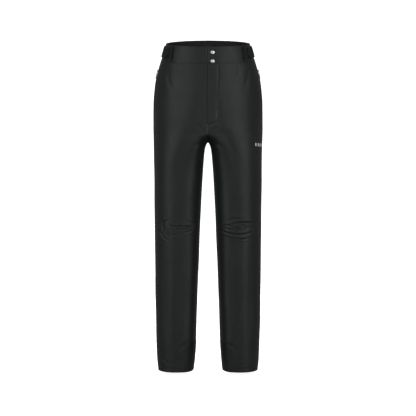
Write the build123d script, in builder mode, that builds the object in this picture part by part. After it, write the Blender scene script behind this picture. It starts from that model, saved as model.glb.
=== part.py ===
from build123d import *
from math import acos, asin, cos, degrees, pi, radians, sin, sqrt
import os

# Ski trousers. Millimetres, +Z up, the wearer faces -Y and +X is the wearer's left.
# The origin is the centre of the waist opening. Heights are counted up from the hem.
os.makedirs("parts", exist_ok=True)

# ---------------------------------------------------------------- driving dimensions
WAIST_HEIGHT = 1033.0  # hem to the waist's edge at the side
RISE = 0.265  # climb of the waist's edge towards the back, per mm
BAND_HEIGHT = 52.0
WALL = 2.5  # face fabric, padding and fleece as one laminate
SIDE_SEAM_Y = 8.0
OUTLINE_POINTS = 12
PLAY = 0.3  # clearance between pieces that move against each other

KNEE_HEIGHT = 447.0
KNEE_FRONT_HALF = 30.0  # half height of the knee piece in front
KNEE_BACK_HALF = 88.0  # half height of the fabric that folds behind the knee

FLY_ROOT_X = 32.0  # stitched line that the lapped edge swings about
FLY_FREE_X = -2.0
FLY_LENGTH = 184.0
FLY_LEAN = 0.045  # lean of the straight front line
FLY_CURVE = 30.0  # radius of the stitching at the foot of the fly
FLY_CHAIN_X = 12.0
FLY_CHAIN_WIDTH = 6.0
SNAP_X = 14.0
SNAP_HEIGHTS = (989.0, 962.0)

POCKET_RADIUS = 513.6  # radius of the side zip, which follows the hip
POCKET_LEAN = 7.3  # lean of the zip's middle, degrees
POCKET_TURN = 11.0  # how far the zip faces forwards of straight sideways, degrees
POCKET_HALF = 7.33  # half of the zip's arc, degrees
POCKET_MIDDLE = (168.0, -4.0, 890.0 - WAIST_HEIGHT)

# Outline of the left side: height, outer x, inner x, front y, back y.
# Above the crotch the section is the whole trunk, so the inner x is its far side.
STATIONS = [
    (0, 157.5, 46, -50, 72),
    (35, 161, 42, -52, 74),
    (98, 163.5, 38, -56, 77),
    (224, 166, 34, -62, 81),
    (351, 167.2, 29, -71, 86),
    (477, 168.4, 24, -81, 89),
    (540, 169, 21, -87, 93),
    (667, 170.4, 13, -99, 105),
    (698, 170.8, 9.5, -102.5, 110),
    (714, 171.2, 4.5, -104.5, 113),
    (724, 171.5, -5, -106, 115),
    (740, 172, -48, -108, 119),
    (760, 172.6, -112, -110.5, 123.5),
    (782, 172.8, -163, -110.1, 127.5),
    (798, 172.9, -172.9, -109.4, 129.5),
    (844, 172.7, -172.7, -107.3, 131),
    (882, 170, -170, -105.6, 129),
    (920, 165, -165, -103.9, 124),
    (957, 155, -155, -102.2, 116.5),
    (1006, 140, -140, -100, 106),
    (1070, 122, -122, -97.1, 94),
]


# ---------------------------------------------------------------- geometry helpers
def outline_at(height):
    """Outer x, inner x, front y and back y of the left side at a height above the hem."""
    height = min(max(height, STATIONS[0][0]), STATIONS[-1][0])
    low, high = next((a, b) for a, b in zip(STATIONS, STATIONS[1:]) if height <= b[0])
    share = (height - low[0]) / (high[0] - low[0])
    return [p + share * (q - p) for p, q in zip(low[1:], high[1:])]


def oval_at(height, grow=0.0):
    """Centre x, centre y and the two half widths of the section, grown outwards by grow."""
    reach = 4.0
    outer, inner, front, back = outline_at(height)
    slope = (outline_at(height + reach)[1] - outline_at(height - reach)[1]) / (2 * reach)
    outer += grow
    inner -= grow * sqrt(1 + slope**2)
    return (
        (outer + inner) / 2,
        (front + back) / 2,
        (outer - inner) / 2,
        (back - front) / 2 + grow,
    )


def section(height, grow):
    """Closed outline of the left side at a height, as a face."""
    x, y, a, b = oval_at(height, grow)
    turns = [2 * pi * k / OUTLINE_POINTS for k in range(OUTLINE_POINTS)]
    with BuildSketch(Plane.XY.offset(height - WAIST_HEIGHT)) as face:
        with BuildLine():
            Spline(*[(x + a * cos(t), y + b * sin(t)) for t in turns], periodic=True)
        make_face()
    return face.sketch


def sections(low, high, grow):
    """Outlines at both ends of a zone and at every station between them."""
    between = [s[0] for s in STATIONS if low < s[0] < high]
    return [section(height, grow) for height in (low, *between, high)]


def skin(low, high, outer, inner):
    """Layer of the left side between two heights and between two growths of its outline."""
    with BuildPart() as layer:
        loft(sections(low, high, outer), ruled=True)
        loft(sections(low, high, inner), ruled=True, mode=Mode.SUBTRACT)
    return layer


def surface_frame(turn, height):
    """Plane on the surface: x along it level, y along it upwards, z outwards. turn in degrees."""
    step = 0.5

    def point(angle, level):
        x, y, a, b = oval_at(level)
        return Vector(x + a * cos(radians(angle)), y + b * sin(radians(angle)), level - WAIST_HEIGHT)

    along = point(turn + step, height) - point(turn - step, height)
    upwards = point(turn, height + step) - point(turn, height - step)
    return Plane(origin=point(turn, height), x_dir=along, z_dir=along.cross(upwards))


def front_turn(x, height):
    """Turn, in degrees, of the point on the front of the surface that has a given x."""
    return -degrees(acos((x - oval_at(height)[0]) / oval_at(height)[2]))


def band_plane(drop):
    """Plane parallel to the waist's edge, a vertical drop below it."""
    return Plane(origin=(0, 0, -drop), z_dir=(0, -RISE, 1))


def mirrored(piece):
    """The same piece for the wearer's right side."""
    with BuildPart() as other:
        mirror(piece.part, about=Plane.YZ)
    return other


def save(piece, name):
    """Write one piece to its own file."""
    piece.part.label = name
    export_step(piece.part, f"parts/{name}.step")


def save_pair(piece, name):
    """Write a left piece and its mirror image."""
    save(piece, f"{name}_left")
    save(mirrored(piece), f"{name}_right")


FRONT_SIDE = Plane.XZ.offset(-SIDE_SEAM_Y)
FLY_FOOT = 954.0
FLY_FRAME = Plane(
    origin=(0, -(100 + (1006 - FLY_FOOT) * FLY_LEAN), FLY_FOOT - WAIST_HEIGHT),
    x_dir=(1, 0, 0),
    z_dir=(0, -1, FLY_LEAN),
)
POCKET_FRAME = Plane(
    origin=POCKET_MIDDLE,
    x_dir=(cos(radians(POCKET_TURN)), -sin(radians(POCKET_TURN)), 0),
    z_dir=(-sin(radians(POCKET_TURN)), -cos(radians(POCKET_TURN)), 0),
)
POCKET_CENTRE = (
    -POCKET_RADIUS * cos(radians(POCKET_LEAN)),
    -POCKET_RADIUS * sin(radians(POCKET_LEAN)),
)


def fly_window(margin):
    """Outline of the lapped edge, a strip with a curved foot, cut through the front."""
    left, right = FLY_FREE_X - margin, FLY_ROOT_X
    foot = -FLY_LENGTH - margin
    with BuildPart() as window:
        with BuildSketch(FLY_FRAME):
            with BuildLine():
                Polyline((right, foot + FLY_CURVE), (right, 90), (left, 90), (left, foot))
                Line((left, foot), (right - FLY_CURVE, foot))
                TangentArc((right - FLY_CURVE, foot), (right, foot + FLY_CURVE), tangent=(1, 0))
            make_face()
        extrude(amount=30, both=True)
    return window


def fly_block(x_low, x_high, v_low, v_high, w_low, w_high, mode=Mode.ADD):
    """Block in the fly's frame: x across, v up the front, w outwards from the surface."""
    with Locations(FLY_FRAME):
        with Locations(((x_low + x_high) / 2, (v_low + v_high) / 2, (w_low + w_high) / 2)):
            Box(x_high - x_low, v_high - v_low, w_high - w_low, mode=mode)


def pocket_point(proud, angle):
    """Point in the pocket's plane, proud of the zip's arc, at an angle round its centre."""
    reach = POCKET_RADIUS + proud
    return (
        POCKET_CENTRE[0] + reach * cos(radians(angle)),
        POCKET_CENTRE[1] + reach * sin(radians(angle)),
    )


def pocket_band(low, high, start, end, width, mode=Mode.ADD):
    """Part of a ring about the zip's centre, between two heights off the arc, of a width."""
    with BuildSketch(POCKET_FRAME) as ring:
        with BuildLine():
            CenterArc(POCKET_CENTRE, POCKET_RADIUS + high, start, end - start)
            CenterArc(POCKET_CENTRE, POCKET_RADIUS + low, start, end - start)
            Line(pocket_point(low, start), pocket_point(high, start))
            Line(pocket_point(low, end), pocket_point(high, end))
        make_face()
    extrude(ring.sketch, amount=width / 2, both=True, mode=mode)


# ---------------------------------------------------------------- shell: hips and thighs
hip_skin = skin(KNEE_HEIGHT + KNEE_FRONT_HALF, STATIONS[-1][0], 0, -WALL)
window_cut = fly_window(PLAY)
window_fit = fly_window(0)
POCKET_UP = POCKET_LEAN + POCKET_HALF
POCKET_DOWN = POCKET_LEAN - POCKET_HALF

with BuildPart() as hip_front:
    add(hip_skin.part)
    split(bisect_by=FRONT_SIDE, keep=Keep.TOP)

with BuildPart() as front_base:
    add(hip_front.part)
    split(bisect_by=Plane.YZ, keep=Keep.TOP)
    split(bisect_by=band_plane(BAND_HEIGHT), keep=Keep.BOTTOM)
    pocket_band(-12, 12, POCKET_DOWN, POCKET_UP, 8.0, Mode.SUBTRACT)

with BuildPart() as front_left:
    add(front_base.part)
    add(window_cut.part, mode=Mode.SUBTRACT)
save(front_left, "front_left")

with BuildPart() as front_right:
    mirror(front_base.part, about=Plane.YZ)
    add(window_cut.part, mode=Mode.SUBTRACT)
save(front_right, "front_right")

with BuildPart() as back_left:
    add(hip_skin.part)
    split(bisect_by=FRONT_SIDE, keep=Keep.BOTTOM)
    split(bisect_by=Plane.YZ, keep=Keep.TOP)
    split(bisect_by=band_plane(BAND_HEIGHT), keep=Keep.BOTTOM)
    split(bisect_by=Plane.XY.offset(KNEE_HEIGHT + KNEE_BACK_HALF - WAIST_HEIGHT), keep=Keep.TOP)
save_pair(back_left, "back")

# ---------------------------------------------------------------- waistband
with BuildPart() as band_front:
    add(hip_front.part)
    split(bisect_by=Plane.YZ, keep=Keep.TOP)
    split(bisect_by=band_plane(0), keep=Keep.BOTTOM)
    split(bisect_by=band_plane(BAND_HEIGHT), keep=Keep.TOP)

with BuildPart() as waistband_front_left:
    add(band_front.part)
    add(window_cut.part, mode=Mode.SUBTRACT)
save(waistband_front_left, "waistband_front_left")

with BuildPart() as waistband_front_right:
    mirror(band_front.part, about=Plane.YZ)
    add(window_cut.part, mode=Mode.SUBTRACT)
save(waistband_front_right, "waistband_front_right")

with BuildPart() as waistband_back_left:
    add(hip_skin.part)
    split(bisect_by=FRONT_SIDE, keep=Keep.BOTTOM)
    split(bisect_by=Plane.YZ, keep=Keep.TOP)
    split(bisect_by=band_plane(0), keep=Keep.BOTTOM)
    split(bisect_by=band_plane(BAND_HEIGHT), keep=Keep.TOP)
save_pair(waistband_back_left, "waistband_back")

FACING_LOW = 930.0
facing_skin = skin(FACING_LOW, STATIONS[-1][0], -WALL - 0.05, -WALL - 1.2)
with BuildPart() as facing:
    add(facing_skin.part)
    split(bisect_by=Plane.YZ, keep=Keep.TOP)
    split(bisect_by=band_plane(1), keep=Keep.BOTTOM)
    split(bisect_by=band_plane(BAND_HEIGHT), keep=Keep.TOP)

with BuildPart() as facing_left:
    add(facing.part)
    add(window_cut.part, mode=Mode.SUBTRACT)
save(facing_left, "facing_left")

with BuildPart() as facing_right:
    mirror(facing.part, about=Plane.YZ)
    add(window_cut.part, mode=Mode.SUBTRACT)
save(facing_right, "facing_right")

UNDERLAP_TOP = -4.2
UNDERLAP_BACK = -6.0
with BuildPart() as waistband_underlap:
    add(skin(FACING_LOW, STATIONS[-1][0], UNDERLAP_TOP, UNDERLAP_BACK).part)
    split(bisect_by=Plane.XZ, keep=Keep.TOP)
    split(bisect_by=Plane.YZ.offset(-24), keep=Keep.TOP)
    split(bisect_by=Plane.YZ.offset(29), keep=Keep.BOTTOM)
    split(bisect_by=band_plane(2), keep=Keep.BOTTOM)
    split(bisect_by=band_plane(BAND_HEIGHT), keep=Keep.TOP)
save(waistband_underlap, "waistband_underlap")

# ---------------------------------------------------------------- fly
with BuildPart() as lapped_strip:
    add(hip_front.part)
    add(window_fit.part, mode=Mode.INTERSECT)
    split(bisect_by=Plane.YZ.offset(FLY_ROOT_X - 2 * PLAY), keep=Keep.BOTTOM)

with BuildPart() as fly_flap:
    add(lapped_strip.part)
    split(bisect_by=band_plane(BAND_HEIGHT), keep=Keep.BOTTOM)
save(fly_flap, "fly_flap")

with BuildPart() as waistband_tab:
    add(lapped_strip.part)
    split(bisect_by=band_plane(0), keep=Keep.BOTTOM)
    split(bisect_by=band_plane(BAND_HEIGHT), keep=Keep.TOP)
save(waistband_tab, "waistband_tab")

CHAIN_LOW_X = FLY_CHAIN_X - FLY_CHAIN_WIDTH / 2
CHAIN_HIGH_X = FLY_CHAIN_X + FLY_CHAIN_WIDTH / 2
CHAIN_TOP, CHAIN_BACK = -5.9, -7.9
CHAIN_UPPER, CHAIN_LOWER = -5.0, -176.0

with BuildPart() as fly_chain:
    fly_block(CHAIN_LOW_X, CHAIN_HIGH_X, CHAIN_LOWER, CHAIN_UPPER, CHAIN_BACK, CHAIN_TOP)
save(fly_chain, "fly_chain")

with BuildPart() as fly_tapes:
    for low, high in ((-14, CHAIN_LOW_X), (CHAIN_HIGH_X, 38)):
        fly_block(low, high, CHAIN_LOWER - 5, CHAIN_UPPER + 2, -7.3, -6.7)
save(fly_tapes, "fly_tapes")

with BuildPart() as fly_stops:
    for low, high in ((CHAIN_LOWER - 4, CHAIN_LOWER), (CHAIN_UPPER, CHAIN_UPPER + 2)):
        fly_block(CHAIN_LOW_X + 0.5, CHAIN_HIGH_X - 0.5, low, high, CHAIN_BACK, CHAIN_TOP + PLAY)
save(fly_stops, "fly_stops")

with BuildPart() as fly_guard:
    fly_block(-20, 30, -FLY_LENGTH - 4, -3, -10.6, -9.4)
save(fly_guard, "fly_guard")

SLIDER_UPPER, SLIDER_LOWER = -6.0, -16.0
PLATE_BACK, PLATE_TOP = CHAIN_TOP + PLAY, -4.4
with BuildPart() as fly_slider:
    fly_block(
        CHAIN_LOW_X - 1.8, CHAIN_HIGH_X + 1.8, SLIDER_LOWER, SLIDER_UPPER, -6.4, PLATE_TOP
    )
    fly_block(
        CHAIN_LOW_X - PLAY, CHAIN_HIGH_X + PLAY, SLIDER_LOWER, SLIDER_UPPER, -6.4, PLATE_BACK,
        mode=Mode.SUBTRACT,
    )
save(fly_slider, "fly_slider")

with BuildPart() as fly_pull:
    fly_block(FLY_CHAIN_X - 2.5, FLY_CHAIN_X + 2.5, -36, -8, PLATE_TOP, PLATE_TOP + 0.8)
    fly_block(FLY_CHAIN_X - 1.2, FLY_CHAIN_X + 1.2, -34, -26, -5, -3, mode=Mode.SUBTRACT)
save(fly_pull, "fly_pull")

SNAP_FRAMES = [surface_frame(front_turn(SNAP_X, h), h) for h in SNAP_HEIGHTS]
with BuildPart() as snap_caps:
    with Locations(*[frame.offset(-0.3) for frame in SNAP_FRAMES]):
        Cylinder(7.5, 2.6, align=(Align.CENTER, Align.CENTER, Align.MIN))
    fillet(
        [max(cap.edges(), key=lambda edge: -edge.center().Y) for cap in snap_caps.solids()],
        radius=1.6,
    )
save(snap_caps, "snap_caps")

with BuildPart() as snap_sockets:
    with Locations(*[frame.offset(-3.85) for frame in SNAP_FRAMES]):
        Cylinder(5, 1.6, align=(Align.CENTER, Align.CENTER, Align.MIN))
        Cylinder(3.4, 1.3, align=(Align.CENTER, Align.CENTER, Align.MIN), mode=Mode.SUBTRACT)
save(snap_sockets, "snap_sockets")

with BuildPart() as snap_studs:
    with Locations(*[frame.offset(-7.0) for frame in SNAP_FRAMES]):
        Cylinder(5, 1.0, align=(Align.CENTER, Align.CENTER, Align.MIN))
        Cylinder(3, 4.1, align=(Align.CENTER, Align.CENTER, Align.MIN))
save(snap_studs, "snap_studs")

# ---------------------------------------------------------------- hand pockets
ZIP_CHAIN_LOW, ZIP_CHAIN_HIGH = -3.95, -1.9
ZIP_CHAIN_WIDTH = 5.5
ZIP_SLIDER_LENGTH = 9.0
DEGREES_PER_MM = degrees(1 / POCKET_RADIUS)
SLIDER_END = POCKET_UP - 0.5
SLIDER_START = SLIDER_END - ZIP_SLIDER_LENGTH * DEGREES_PER_MM
PIN_ANGLE = (SLIDER_START + SLIDER_END) / 2
PIN_PROUD = 2.2

with BuildPart() as pocket_tape_left:
    pocket_band(-4.8, -4.0, POCKET_DOWN, POCKET_UP, 16.0)
save_pair(pocket_tape_left, "pocket_tape")

with BuildPart() as pocket_chain_left:
    pocket_band(ZIP_CHAIN_LOW, ZIP_CHAIN_HIGH, POCKET_DOWN + 0.2, POCKET_UP - 0.2, ZIP_CHAIN_WIDTH)
save_pair(pocket_chain_left, "pocket_chain")

with BuildPart() as pocket_slider_left:
    pocket_band(-3.5, 0.2, SLIDER_START, SLIDER_END, 7.2)
    pocket_band(
        -3.6, ZIP_CHAIN_HIGH + PLAY, SLIDER_START - 1, SLIDER_END + 1, ZIP_CHAIN_WIDTH + 2 * PLAY,
        Mode.SUBTRACT,
    )
    for side in (-1, 1):
        with BuildSketch(POCKET_FRAME.offset(side * 2.0)) as ear:
            with Locations(pocket_point(PIN_PROUD, PIN_ANGLE)):
                Circle(1.4)
            with Locations(pocket_point(PIN_PROUD / 2, PIN_ANGLE)):
                Rectangle(PIN_PROUD, 2.8, rotation=PIN_ANGLE)
        extrude(ear.sketch, amount=0.4, both=True)
    with BuildSketch(POCKET_FRAME) as pin:
        with Locations(pocket_point(PIN_PROUD, PIN_ANGLE)):
            Circle(0.6)
    extrude(pin.sketch, amount=2.0, both=True)
save_pair(pocket_slider_left, "pocket_slider")

PULL_LENGTH = 26.0
with BuildPart() as pocket_pull_left:
    with BuildSketch(POCKET_FRAME) as eye:
        with Locations(pocket_point(PIN_PROUD, PIN_ANGLE)):
            Circle(1.6)
    extrude(eye.sketch, amount=1.2, both=True)
    pocket_band(1.6, 2.8, PIN_ANGLE - 4 * DEGREES_PER_MM, PIN_ANGLE - 0.5 * DEGREES_PER_MM, 2.4)
    pocket_band(
        1.6, 2.8, PIN_ANGLE - PULL_LENGTH * DEGREES_PER_MM, PIN_ANGLE - 3 * DEGREES_PER_MM, 5.0
    )
    with BuildSketch(POCKET_FRAME) as hole:
        with Locations(pocket_point(PIN_PROUD, PIN_ANGLE)):
            Circle(0.6 + PLAY)
    extrude(hole.sketch, amount=3, both=True, mode=Mode.SUBTRACT)
save_pair(pocket_pull_left, "pocket_pull")

with BuildPart() as pocket_bag_left:
    add(skin(800, 940, -6.4, -8.8).part)
    split(bisect_by=Plane.XZ.offset(-2), keep=Keep.TOP)
    split(bisect_by=Plane.YZ.offset(75), keep=Keep.TOP)
save_pair(pocket_bag_left, "pocket_bag")

# ---------------------------------------------------------------- waist adjusters and loops
TAB_LOW, TAB_HIGH = 960.0, 1050.0
TAB_INNER, TAB_OUTER = 1.9, 3.9


def waist_layer(inner, outer, front_y, back_y, drop_low, drop_high):
    """Strip round the side of the waistband, between two drops below the waist's edge."""
    with BuildPart() as strip:
        add(skin(TAB_LOW, TAB_HIGH, outer, inner).part)
        split(bisect_by=Plane.YZ, keep=Keep.TOP)
        split(bisect_by=Plane.XZ.offset(-front_y), keep=Keep.BOTTOM)
        split(bisect_by=Plane.XZ.offset(-back_y), keep=Keep.TOP)
        split(bisect_by=band_plane(drop_high), keep=Keep.BOTTOM)
        split(bisect_by=band_plane(drop_low), keep=Keep.TOP)
    return strip


save_pair(waist_layer(0.05, 0.9, -72, -12, 40, 12), "loop_patch")
save_pair(waist_layer(1.25, 1.85, -46, -14, 40, 12), "hook_patch")
save_pair(waist_layer(TAB_INNER, TAB_OUTER, -50, 40, 43, 9), "waist_tab")

LOOP_WIDTH = 10.0
LOOP_LENGTH = 48.0


def band_frame(turn):
    """Plane on the middle of the waistband at a turn, in degrees."""
    _, y, _, b = oval_at(WAIST_HEIGHT - BAND_HEIGHT / 2)
    climb = RISE * (y + b * sin(radians(turn)))
    return surface_frame(turn, WAIST_HEIGHT - BAND_HEIGHT / 2 + climb)


with BuildPart() as belt_loops:
    for turn in (-39.5, -140.5, 60, 120, 90):
        with Locations(band_frame(turn)):
            with Locations((0, 0, 3.7)):
                Box(LOOP_WIDTH, LOOP_LENGTH, 1.4)
            with Locations((0, LOOP_LENGTH / 2 - 2.5, 1.4), (0, 2.5 - LOOP_LENGTH / 2, 1.4)):
                Box(LOOP_WIDTH, 5, 3.6)
save(belt_loops, "belt_loops")

with BuildPart() as hanger_loops:
    for turn in (4, 176):
        with Locations(surface_frame(turn, 990)):
            with Locations((0, 0, -5.6)):
                Box(6, 70, 1.2)
save(hanger_loops, "hanger_loops")

with BuildPart() as size_label:
    with Locations(band_frame(90)):
        with Locations((0, 0, -5.3)):
            Box(36, 22, 0.5)
save(size_label, "size_label")

with BuildPart() as reflective_bars:
    for turn in (-33, -27, -21, -15):
        with Locations(surface_frame(turn, 722)):
            with Locations(Location((0, 0, 0.3), (0, 0, -18))):
                Box(5, 9, 0.3)
save(reflective_bars, "reflective_bars")

# ---------------------------------------------------------------- knees and lower legs
with BuildPart() as knee_front_left:
    add(skin(KNEE_HEIGHT - KNEE_FRONT_HALF + 0.5, KNEE_HEIGHT + KNEE_FRONT_HALF, 0, -WALL).part)
    split(bisect_by=FRONT_SIDE, keep=Keep.TOP)
save_pair(knee_front_left, "knee_front")

with BuildPart() as knee_back_left:
    add(skin(KNEE_HEIGHT - KNEE_BACK_HALF + 0.5, KNEE_HEIGHT + KNEE_BACK_HALF, 0, -WALL).part)
    split(bisect_by=FRONT_SIDE, keep=Keep.BOTTOM)
save_pair(knee_back_left, "knee_back")

with BuildPart() as shin_front_left:
    add(skin(0, KNEE_HEIGHT - KNEE_FRONT_HALF, 0, -WALL).part)
    split(bisect_by=FRONT_SIDE, keep=Keep.TOP)
save_pair(shin_front_left, "shin_front")

with BuildPart() as shin_back_left:
    add(skin(0, KNEE_HEIGHT - KNEE_BACK_HALF, 0, -WALL).part)
    split(bisect_by=FRONT_SIDE, keep=Keep.BOTTOM)
save_pair(shin_back_left, "shin_back")

with BuildPart() as scuff_guard_left:
    add(skin(4, 95, 1.1, 0.1).part)
    split(bisect_by=Plane.YZ.offset(75), keep=Keep.BOTTOM)
save_pair(scuff_guard_left, "scuff_guard")

# ---------------------------------------------------------------- snow cuffs inside the hems
GAITER_LEVELS = [(22, -16.0), (100, -14.0), (160, -9.0), (195, -3.2)]  # height, growth
GAITER_WALL = 1.2
with BuildPart() as gaiter_left:
    loft([section(height, grow) for height, grow in GAITER_LEVELS], ruled=True)
    loft(
        [section(height, grow - GAITER_WALL) for height, grow in GAITER_LEVELS],
        ruled=True,
        mode=Mode.SUBTRACT,
    )
save_pair(gaiter_left, "gaiter")

with BuildPart() as gaiter_elastic_left:
    add(skin(7, 21.5, -16.0, -18.5).part)
save_pair(gaiter_elastic_left, "gaiter_elastic")

with BuildPart() as gaiter_hook_left:
    with Locations(surface_frame(-90, 14)):
        with Locations((0, 1, -15.0)):
            Box(9, 22, 1.2)
        with Locations((0, -8, -13.2)):
            Box(9, 4, 2.4)
save_pair(gaiter_hook_left, "gaiter_hook")
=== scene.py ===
import logging
import math
from dataclasses import dataclass, field, fields, replace
from enum import Enum
from typing import Callable

import bmesh
import bpy
import numpy as np
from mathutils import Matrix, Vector


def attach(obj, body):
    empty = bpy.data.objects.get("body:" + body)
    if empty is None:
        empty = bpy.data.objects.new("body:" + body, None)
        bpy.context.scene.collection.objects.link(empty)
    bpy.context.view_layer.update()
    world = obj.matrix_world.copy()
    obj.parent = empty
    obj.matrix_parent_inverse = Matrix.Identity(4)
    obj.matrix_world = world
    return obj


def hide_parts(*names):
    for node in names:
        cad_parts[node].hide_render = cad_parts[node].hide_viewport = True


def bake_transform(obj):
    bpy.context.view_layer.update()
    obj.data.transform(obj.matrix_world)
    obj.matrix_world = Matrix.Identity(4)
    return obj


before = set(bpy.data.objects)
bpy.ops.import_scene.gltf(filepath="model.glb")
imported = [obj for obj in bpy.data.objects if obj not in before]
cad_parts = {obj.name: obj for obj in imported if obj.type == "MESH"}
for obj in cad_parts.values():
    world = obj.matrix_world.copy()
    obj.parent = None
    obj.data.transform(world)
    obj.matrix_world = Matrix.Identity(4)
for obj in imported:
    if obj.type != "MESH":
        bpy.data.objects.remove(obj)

logging.basicConfig(level=logging.INFO, format="%(message)s")
log = logging.getLogger("ski_pants")

MM = 0.001  # one millimetre in metres; every other size is in mm, heights above the hem
WAIST_HEIGHT = 1033.0  # from the hem to the origin
RISE = 0.265  # climb of the waist's edge towards the back
BAND_HEIGHT = 52.0  # of the waistband
WALL = 2.2  # thickness of the shell's laminate
SEAM_Y = 8.0  # depth at which the side seam runs
FLY_ROOT, FLY_FREE, FLY_TURN = 32.0, -2.0, 30.0  # x of the fly's root and free edge, radius of its J
FLY_FOOT = 770.0  # height of the fly's lower end
HINGE_Y, HINGE_HEIGHT, HINGE_SLOPE = -100.362, 954.0, 0.0483  # the line that the open fly turns on
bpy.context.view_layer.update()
Array = np.ndarray


# ------------------------------------------------------------------ body shape
@dataclass(frozen=True)
class Outline:
    """Left side of the body: level sections as ovals, in mm above the hem."""

    stations: tuple[tuple[float, ...], ...] = (
        (0, 157.5, 46, -50, 72), (35, 161, 42, -52, 74), (98, 163.5, 38, -56, 77),
        (224, 166, 34, -62, 81), (351, 167.2, 29, -71, 86), (477, 168.4, 24, -81, 89),
        (540, 169, 21, -87, 93), (667, 170.4, 13, -99, 105), (698, 170.8, 9.5, -102.5, 110),
        (714, 171.2, 4.5, -104.5, 113), (724, 171.5, -5, -106, 115), (740, 172, -48, -108, 119),
        (760, 172.6, -112, -110.5, 123.5), (782, 172.8, -163, -110.1, 127.5),
        (798, 172.9, -172.9, -109.4, 129.5), (844, 172.7, -172.7, -107.3, 131),
        (882, 170, -170, -105.6, 129), (920, 165, -165, -103.9, 124),
        (957, 155, -155, -102.2, 116.5), (1006, 140, -140, -100, 106), (1070, 122, -122, -97.1, 94),
    )

    def values(self, height: Array) -> Array:
        """Section sizes at heights: a cubic through the stations that never overshoots them.

        Args:
            height: heights above the hem, any shape.
        Returns:
            Outer x, inner x, front y and back y, with the sizes first.
        """
        table = np.array(self.stations, float)
        x, y = table[:, 0], table[:, 1:]
        run = np.diff(x)[:, None]
        rate = np.diff(y, axis=0) / run
        same = rate[:-1] * rate[1:] > 0
        mean = np.where(same, 2 * rate[:-1] * rate[1:] / np.where(same, rate[:-1] + rate[1:], 1), 0)
        slope = np.vstack([rate[:1], mean, rate[-1:]])
        h = np.clip(np.asarray(height, float), x[0], x[-1])
        k = np.clip(np.searchsorted(x, h) - 1, 0, len(x) - 2)
        t = ((h - x[k]) / (x[k + 1] - x[k]))[..., None]
        w = (x[k + 1] - x[k])[..., None]
        value = (
            (2 * t**3 - 3 * t**2 + 1) * y[k] + (t**3 - 2 * t**2 + t) * w * slope[k]
            + (3 * t**2 - 2 * t**3) * y[k + 1] + (t**3 - t**2) * w * slope[k + 1]
        )
        return np.moveaxis(value, -1, 0)

    def depth(self, height: Array) -> tuple[Array, Array]:
        """Middle y and half depth of the sections at heights."""
        _, _, front, back = self.values(height)
        return (front + back) / 2, (back - front) / 2

    def spread(self, height: Array) -> tuple[Array, Array, Array]:
        """Where each section is deepest, and its half widths outwards and inwards from there.

        Args:
            height: heights above the hem.
        Returns:
            The x of the deepest line, which moves from the leg's middle to the body's over a
            long stretch of thigh, then the outer and the inner half width.
        """
        outer, inner, _, _ = self.values(height)
        leg_outer, leg_inner, _, _ = self.values(np.minimum(height, 640.0))
        ridge = (leg_outer + leg_inner) / 2 * (1 - smooth_step(height, 640.0, 890.0))
        return ridge, outer - ridge, ridge - inner

    def point(self, height: Array, turn: Array, grow: Array | float = 0.0) -> Array:
        """Point on the section: two half ovals, squarer where the front turns to the inner leg."""
        y, b = self.depth(height)
        x, outwards, inwards = self.spread(height)
        sine, cosine = np.sin(turn), np.cos(turn)
        a = np.where(cosine > 0, outwards, inwards)
        reach = np.where(height < 728, 90.0, 46.0)
        square = 0.26 * (1 - smooth_step(height, 700, 830))
        square = square + 0.45 * np.exp(-(((height - 728) / reach) ** 2))
        square = square * smooth_step(-cosine, -0.3, 0.3) * (sine < 0)
        deep = sine * (1 + square * (1 - sine**2))
        return np.stack([x + (a + grow) * cosine, y + (b + grow) * deep, height - WAIST_HEIGHT], -1)

    def tilt(self, level: Array, turn: Array) -> Array:
        """Height of a row that is level on the legs and follows the waist's slope near the top."""
        share = smooth_step(level, 800.0, 981.0)
        height = level + 0 * turn
        for _ in range(4):
            y, b = self.depth(height)
            height = level + share * RISE * (y + b * np.sin(turn))
        return height

    def turn_at_x(self, height: Array, x: Array | float, side: int) -> Array:
        """Turn where a section meets a given x, at the front (side -1) or the back (side 1)."""
        ridge, outwards, inwards = self.spread(height)
        a = np.where(x > ridge, outwards, inwards)
        return side * np.arccos(np.clip((x - ridge) / a, -1, 1))

    def turn_at_y(self, height: Array, y: Array | float) -> Array:
        """Turn where a section's outer side meets a given y."""
        middle, b = self.depth(height)
        return np.arcsin(np.clip((y - middle) / b, -1, 1))

    def frame_at(self, turn: float, height: float) -> tuple[Array, Array, Array, Array]:
        """Point on the surface with its level, upward and outward directions."""
        step, h = 0.01, np.array(height, float)
        here = self.point(h, turn)
        along = self.point(h, turn + step) - self.point(h, turn - step)
        up = self.point(h + 0.5, turn) - self.point(h - 0.5, turn)
        out = unit(np.cross(along, up))
        along = unit(along)
        return here, along, np.cross(out, along), out


BODY = Outline()


def smooth_step(value: Array, low: float, high: float) -> Array:
    """Smooth ramp from 0 at low to 1 at high."""
    t = np.clip((value - low) / (high - low), 0, 1)
    return t * t * (3 - 2 * t)


def unit(vectors: Array) -> Array:
    """Vectors scaled to length 1."""
    return vectors / np.maximum(np.linalg.norm(vectors, axis=-1, keepdims=True), 1e-9)


def grid_normals(points: Array) -> Array:
    """Outward direction at each point of a grid: cross product of its two runs.

    Args:
        points: grid of points, rows upwards and columns round the body.
    Returns:
        Unit vectors, turned so that most point away from the grid's middle.
    """
    normal = unit(np.cross(np.gradient(points, axis=1), np.gradient(points, axis=0)))
    away = points - points.mean(axis=1, keepdims=True)
    return normal if (normal * away).sum() > 0 else -normal


def run_length(points: Array, axis: int) -> Array:
    """Distance travelled along an axis of a grid, in mm, from its first point."""
    steps = np.linalg.norm(np.diff(points, axis=axis), axis=-1)
    return np.insert(np.cumsum(steps, axis=axis), 0, 0, axis=axis)


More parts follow.
